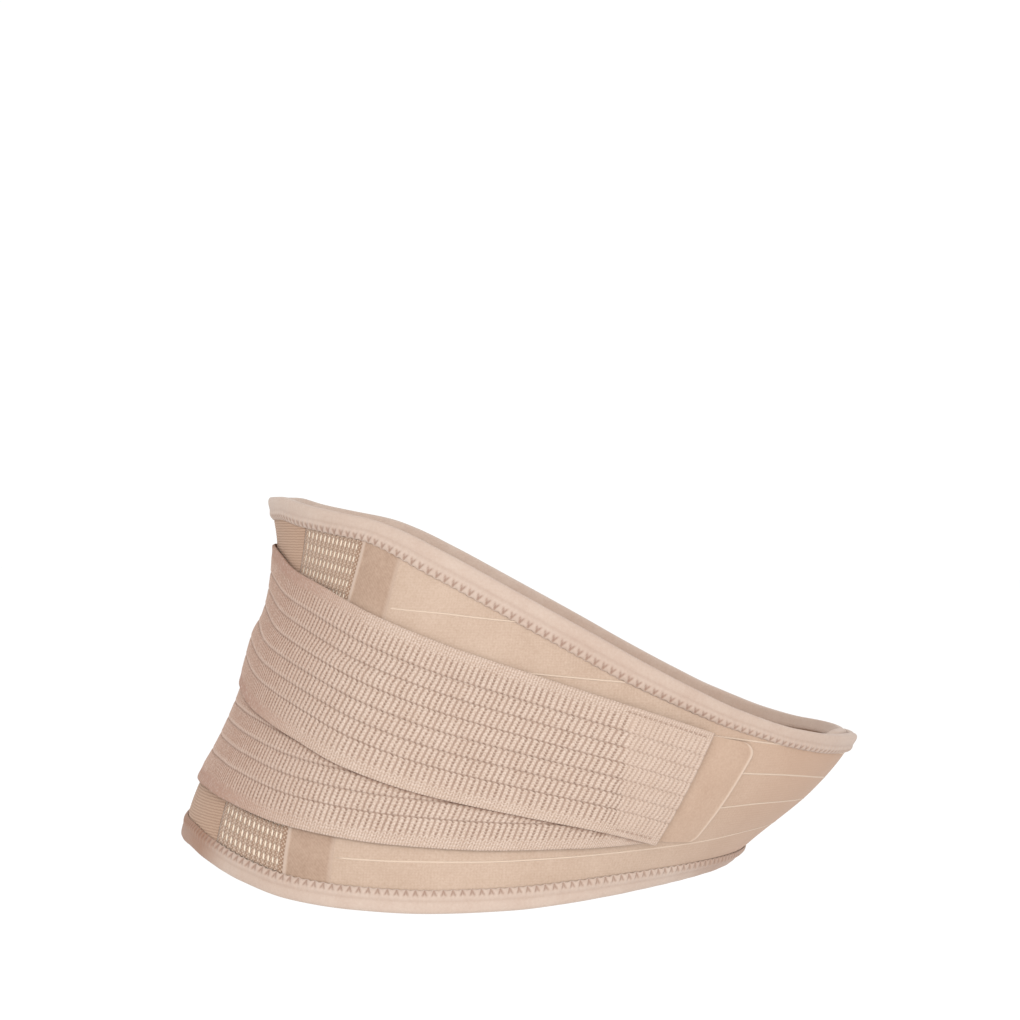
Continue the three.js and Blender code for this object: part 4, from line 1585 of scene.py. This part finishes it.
@dataclass
class Studio:
    """Pale floor, soft light and the camera at the photograph's angle."""

    camera_distance: float = 2.125
    camera_height: float = 0.112
    lens: float = 120.0
    sensor: float = 36.0
    floor_height: float = -0.42
    floor_radius: float = 30.0
    surround: float = 1.04
    key_power: float = 44.0
    fill_power: float = 10.0

    def build(self) -> None:
        """Builds the studio."""
        scene = bpy.context.scene
        scene.view_settings.view_transform = "Standard"
        scene.view_settings.look = "None"
        camera = bpy.data.objects.new("camera", bpy.data.cameras.new("camera"))
        camera.data.lens = self.lens
        camera.data.sensor_width = self.sensor
        camera.data.clip_start = 0.05
        camera.location = (0.0, -self.camera_distance, self.camera_height)
        camera.rotation_euler = (math.pi / 2, 0.0, 0.0)
        scene.collection.objects.link(camera)
        scene.camera = camera
        self.light("key", (-0.1, -3.0, 0.9), 2.0, self.key_power)
        self.light("fill", (2.2, -2.2, 0.9), 2.2, self.fill_power)
        self.world()
        self.floor()

    def light(self, name: str, place: tuple[float, float, float], size: float,
              power: float) -> None:
        """Adds one soft light that looks at the part.

        Args:
            name: Its name.
            place: Where it stands, in metres.
            size: Its side, in metres.
            power: Its power, in watts.
        """
        data = bpy.data.lights.new(name, "AREA")
        data.shape = "DISK"
        data.size = size
        data.energy = power
        lamp = bpy.data.objects.new(name, data)
        lamp.location = place
        away = np.array(place)
        lamp.rotation_euler = (math.acos(away[2] / np.linalg.norm(away)), 0.0,
                               math.atan2(away[1], away[0]) + math.pi / 2)
        bpy.context.scene.collection.objects.link(lamp)

    def world(self) -> None:
        """Sets an even white surround."""
        world = bpy.data.worlds.new("surround")
        world.use_nodes = True
        ground = world.node_tree.nodes["Background"]
        ground.inputs["Color"].default_value = (1.0, 1.0, 1.0, 1.0)
        ground.inputs["Strength"].default_value = self.surround
        bpy.context.scene.world = world

    def floor(self) -> None:
        """Adds the pale floor."""
        mesh = bpy.data.meshes.new("floor")
        angle = np.linspace(0, 2 * np.pi, 96, endpoint=False)
        ring = np.stack([np.cos(angle) * self.floor_radius, np.sin(angle) * self.floor_radius,
                         np.full_like(angle, self.floor_height)], -1)
        mesh.from_pydata(ring.tolist(), [], [tuple(range(len(angle)))])
        floor = bpy.data.objects.new("floor", mesh)
        bpy.context.scene.collection.objects.link(floor)
        recipe = Recipe("pale_floor", 0.9)
        tone = recipe.blend((0.97, 0.97, 0.97), (0.99, 0.99, 0.99), recipe.noise(0.5))
        mesh.materials.append(recipe.finish(tone))


def main() -> None:
    """Builds the dressed belt and its studio."""
    logging.basicConfig(level=logging.INFO, format="%(name)s: %(message)s")
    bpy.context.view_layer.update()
    belt = Belt()
    BackPanel(belt).build()
    for side in Side:
        for kind in (MeshPanel, StayCasing, FrontPanel, StrapTab):
            kind(belt, side).build()
    for edge in Edge:
        Binding(belt, edge).build()
    ElasticStrap(belt, "lower_strap_woven", LOWER_ROUTE, over=UPPER_ROUTE, seed=11,
                 cut=Cut(92.0, 815.0, 68200.0)).build()
    upper = ElasticStrap(belt, "upper_strap_woven", UPPER_ROUTE, LOWER_ROUTE)
    upper.build()
    for side in Side:
        EndStitches(belt, upper, side).build()
    ClosurePad(belt).build()
    Studio().build()


if __name__ == "__main__":
    main()
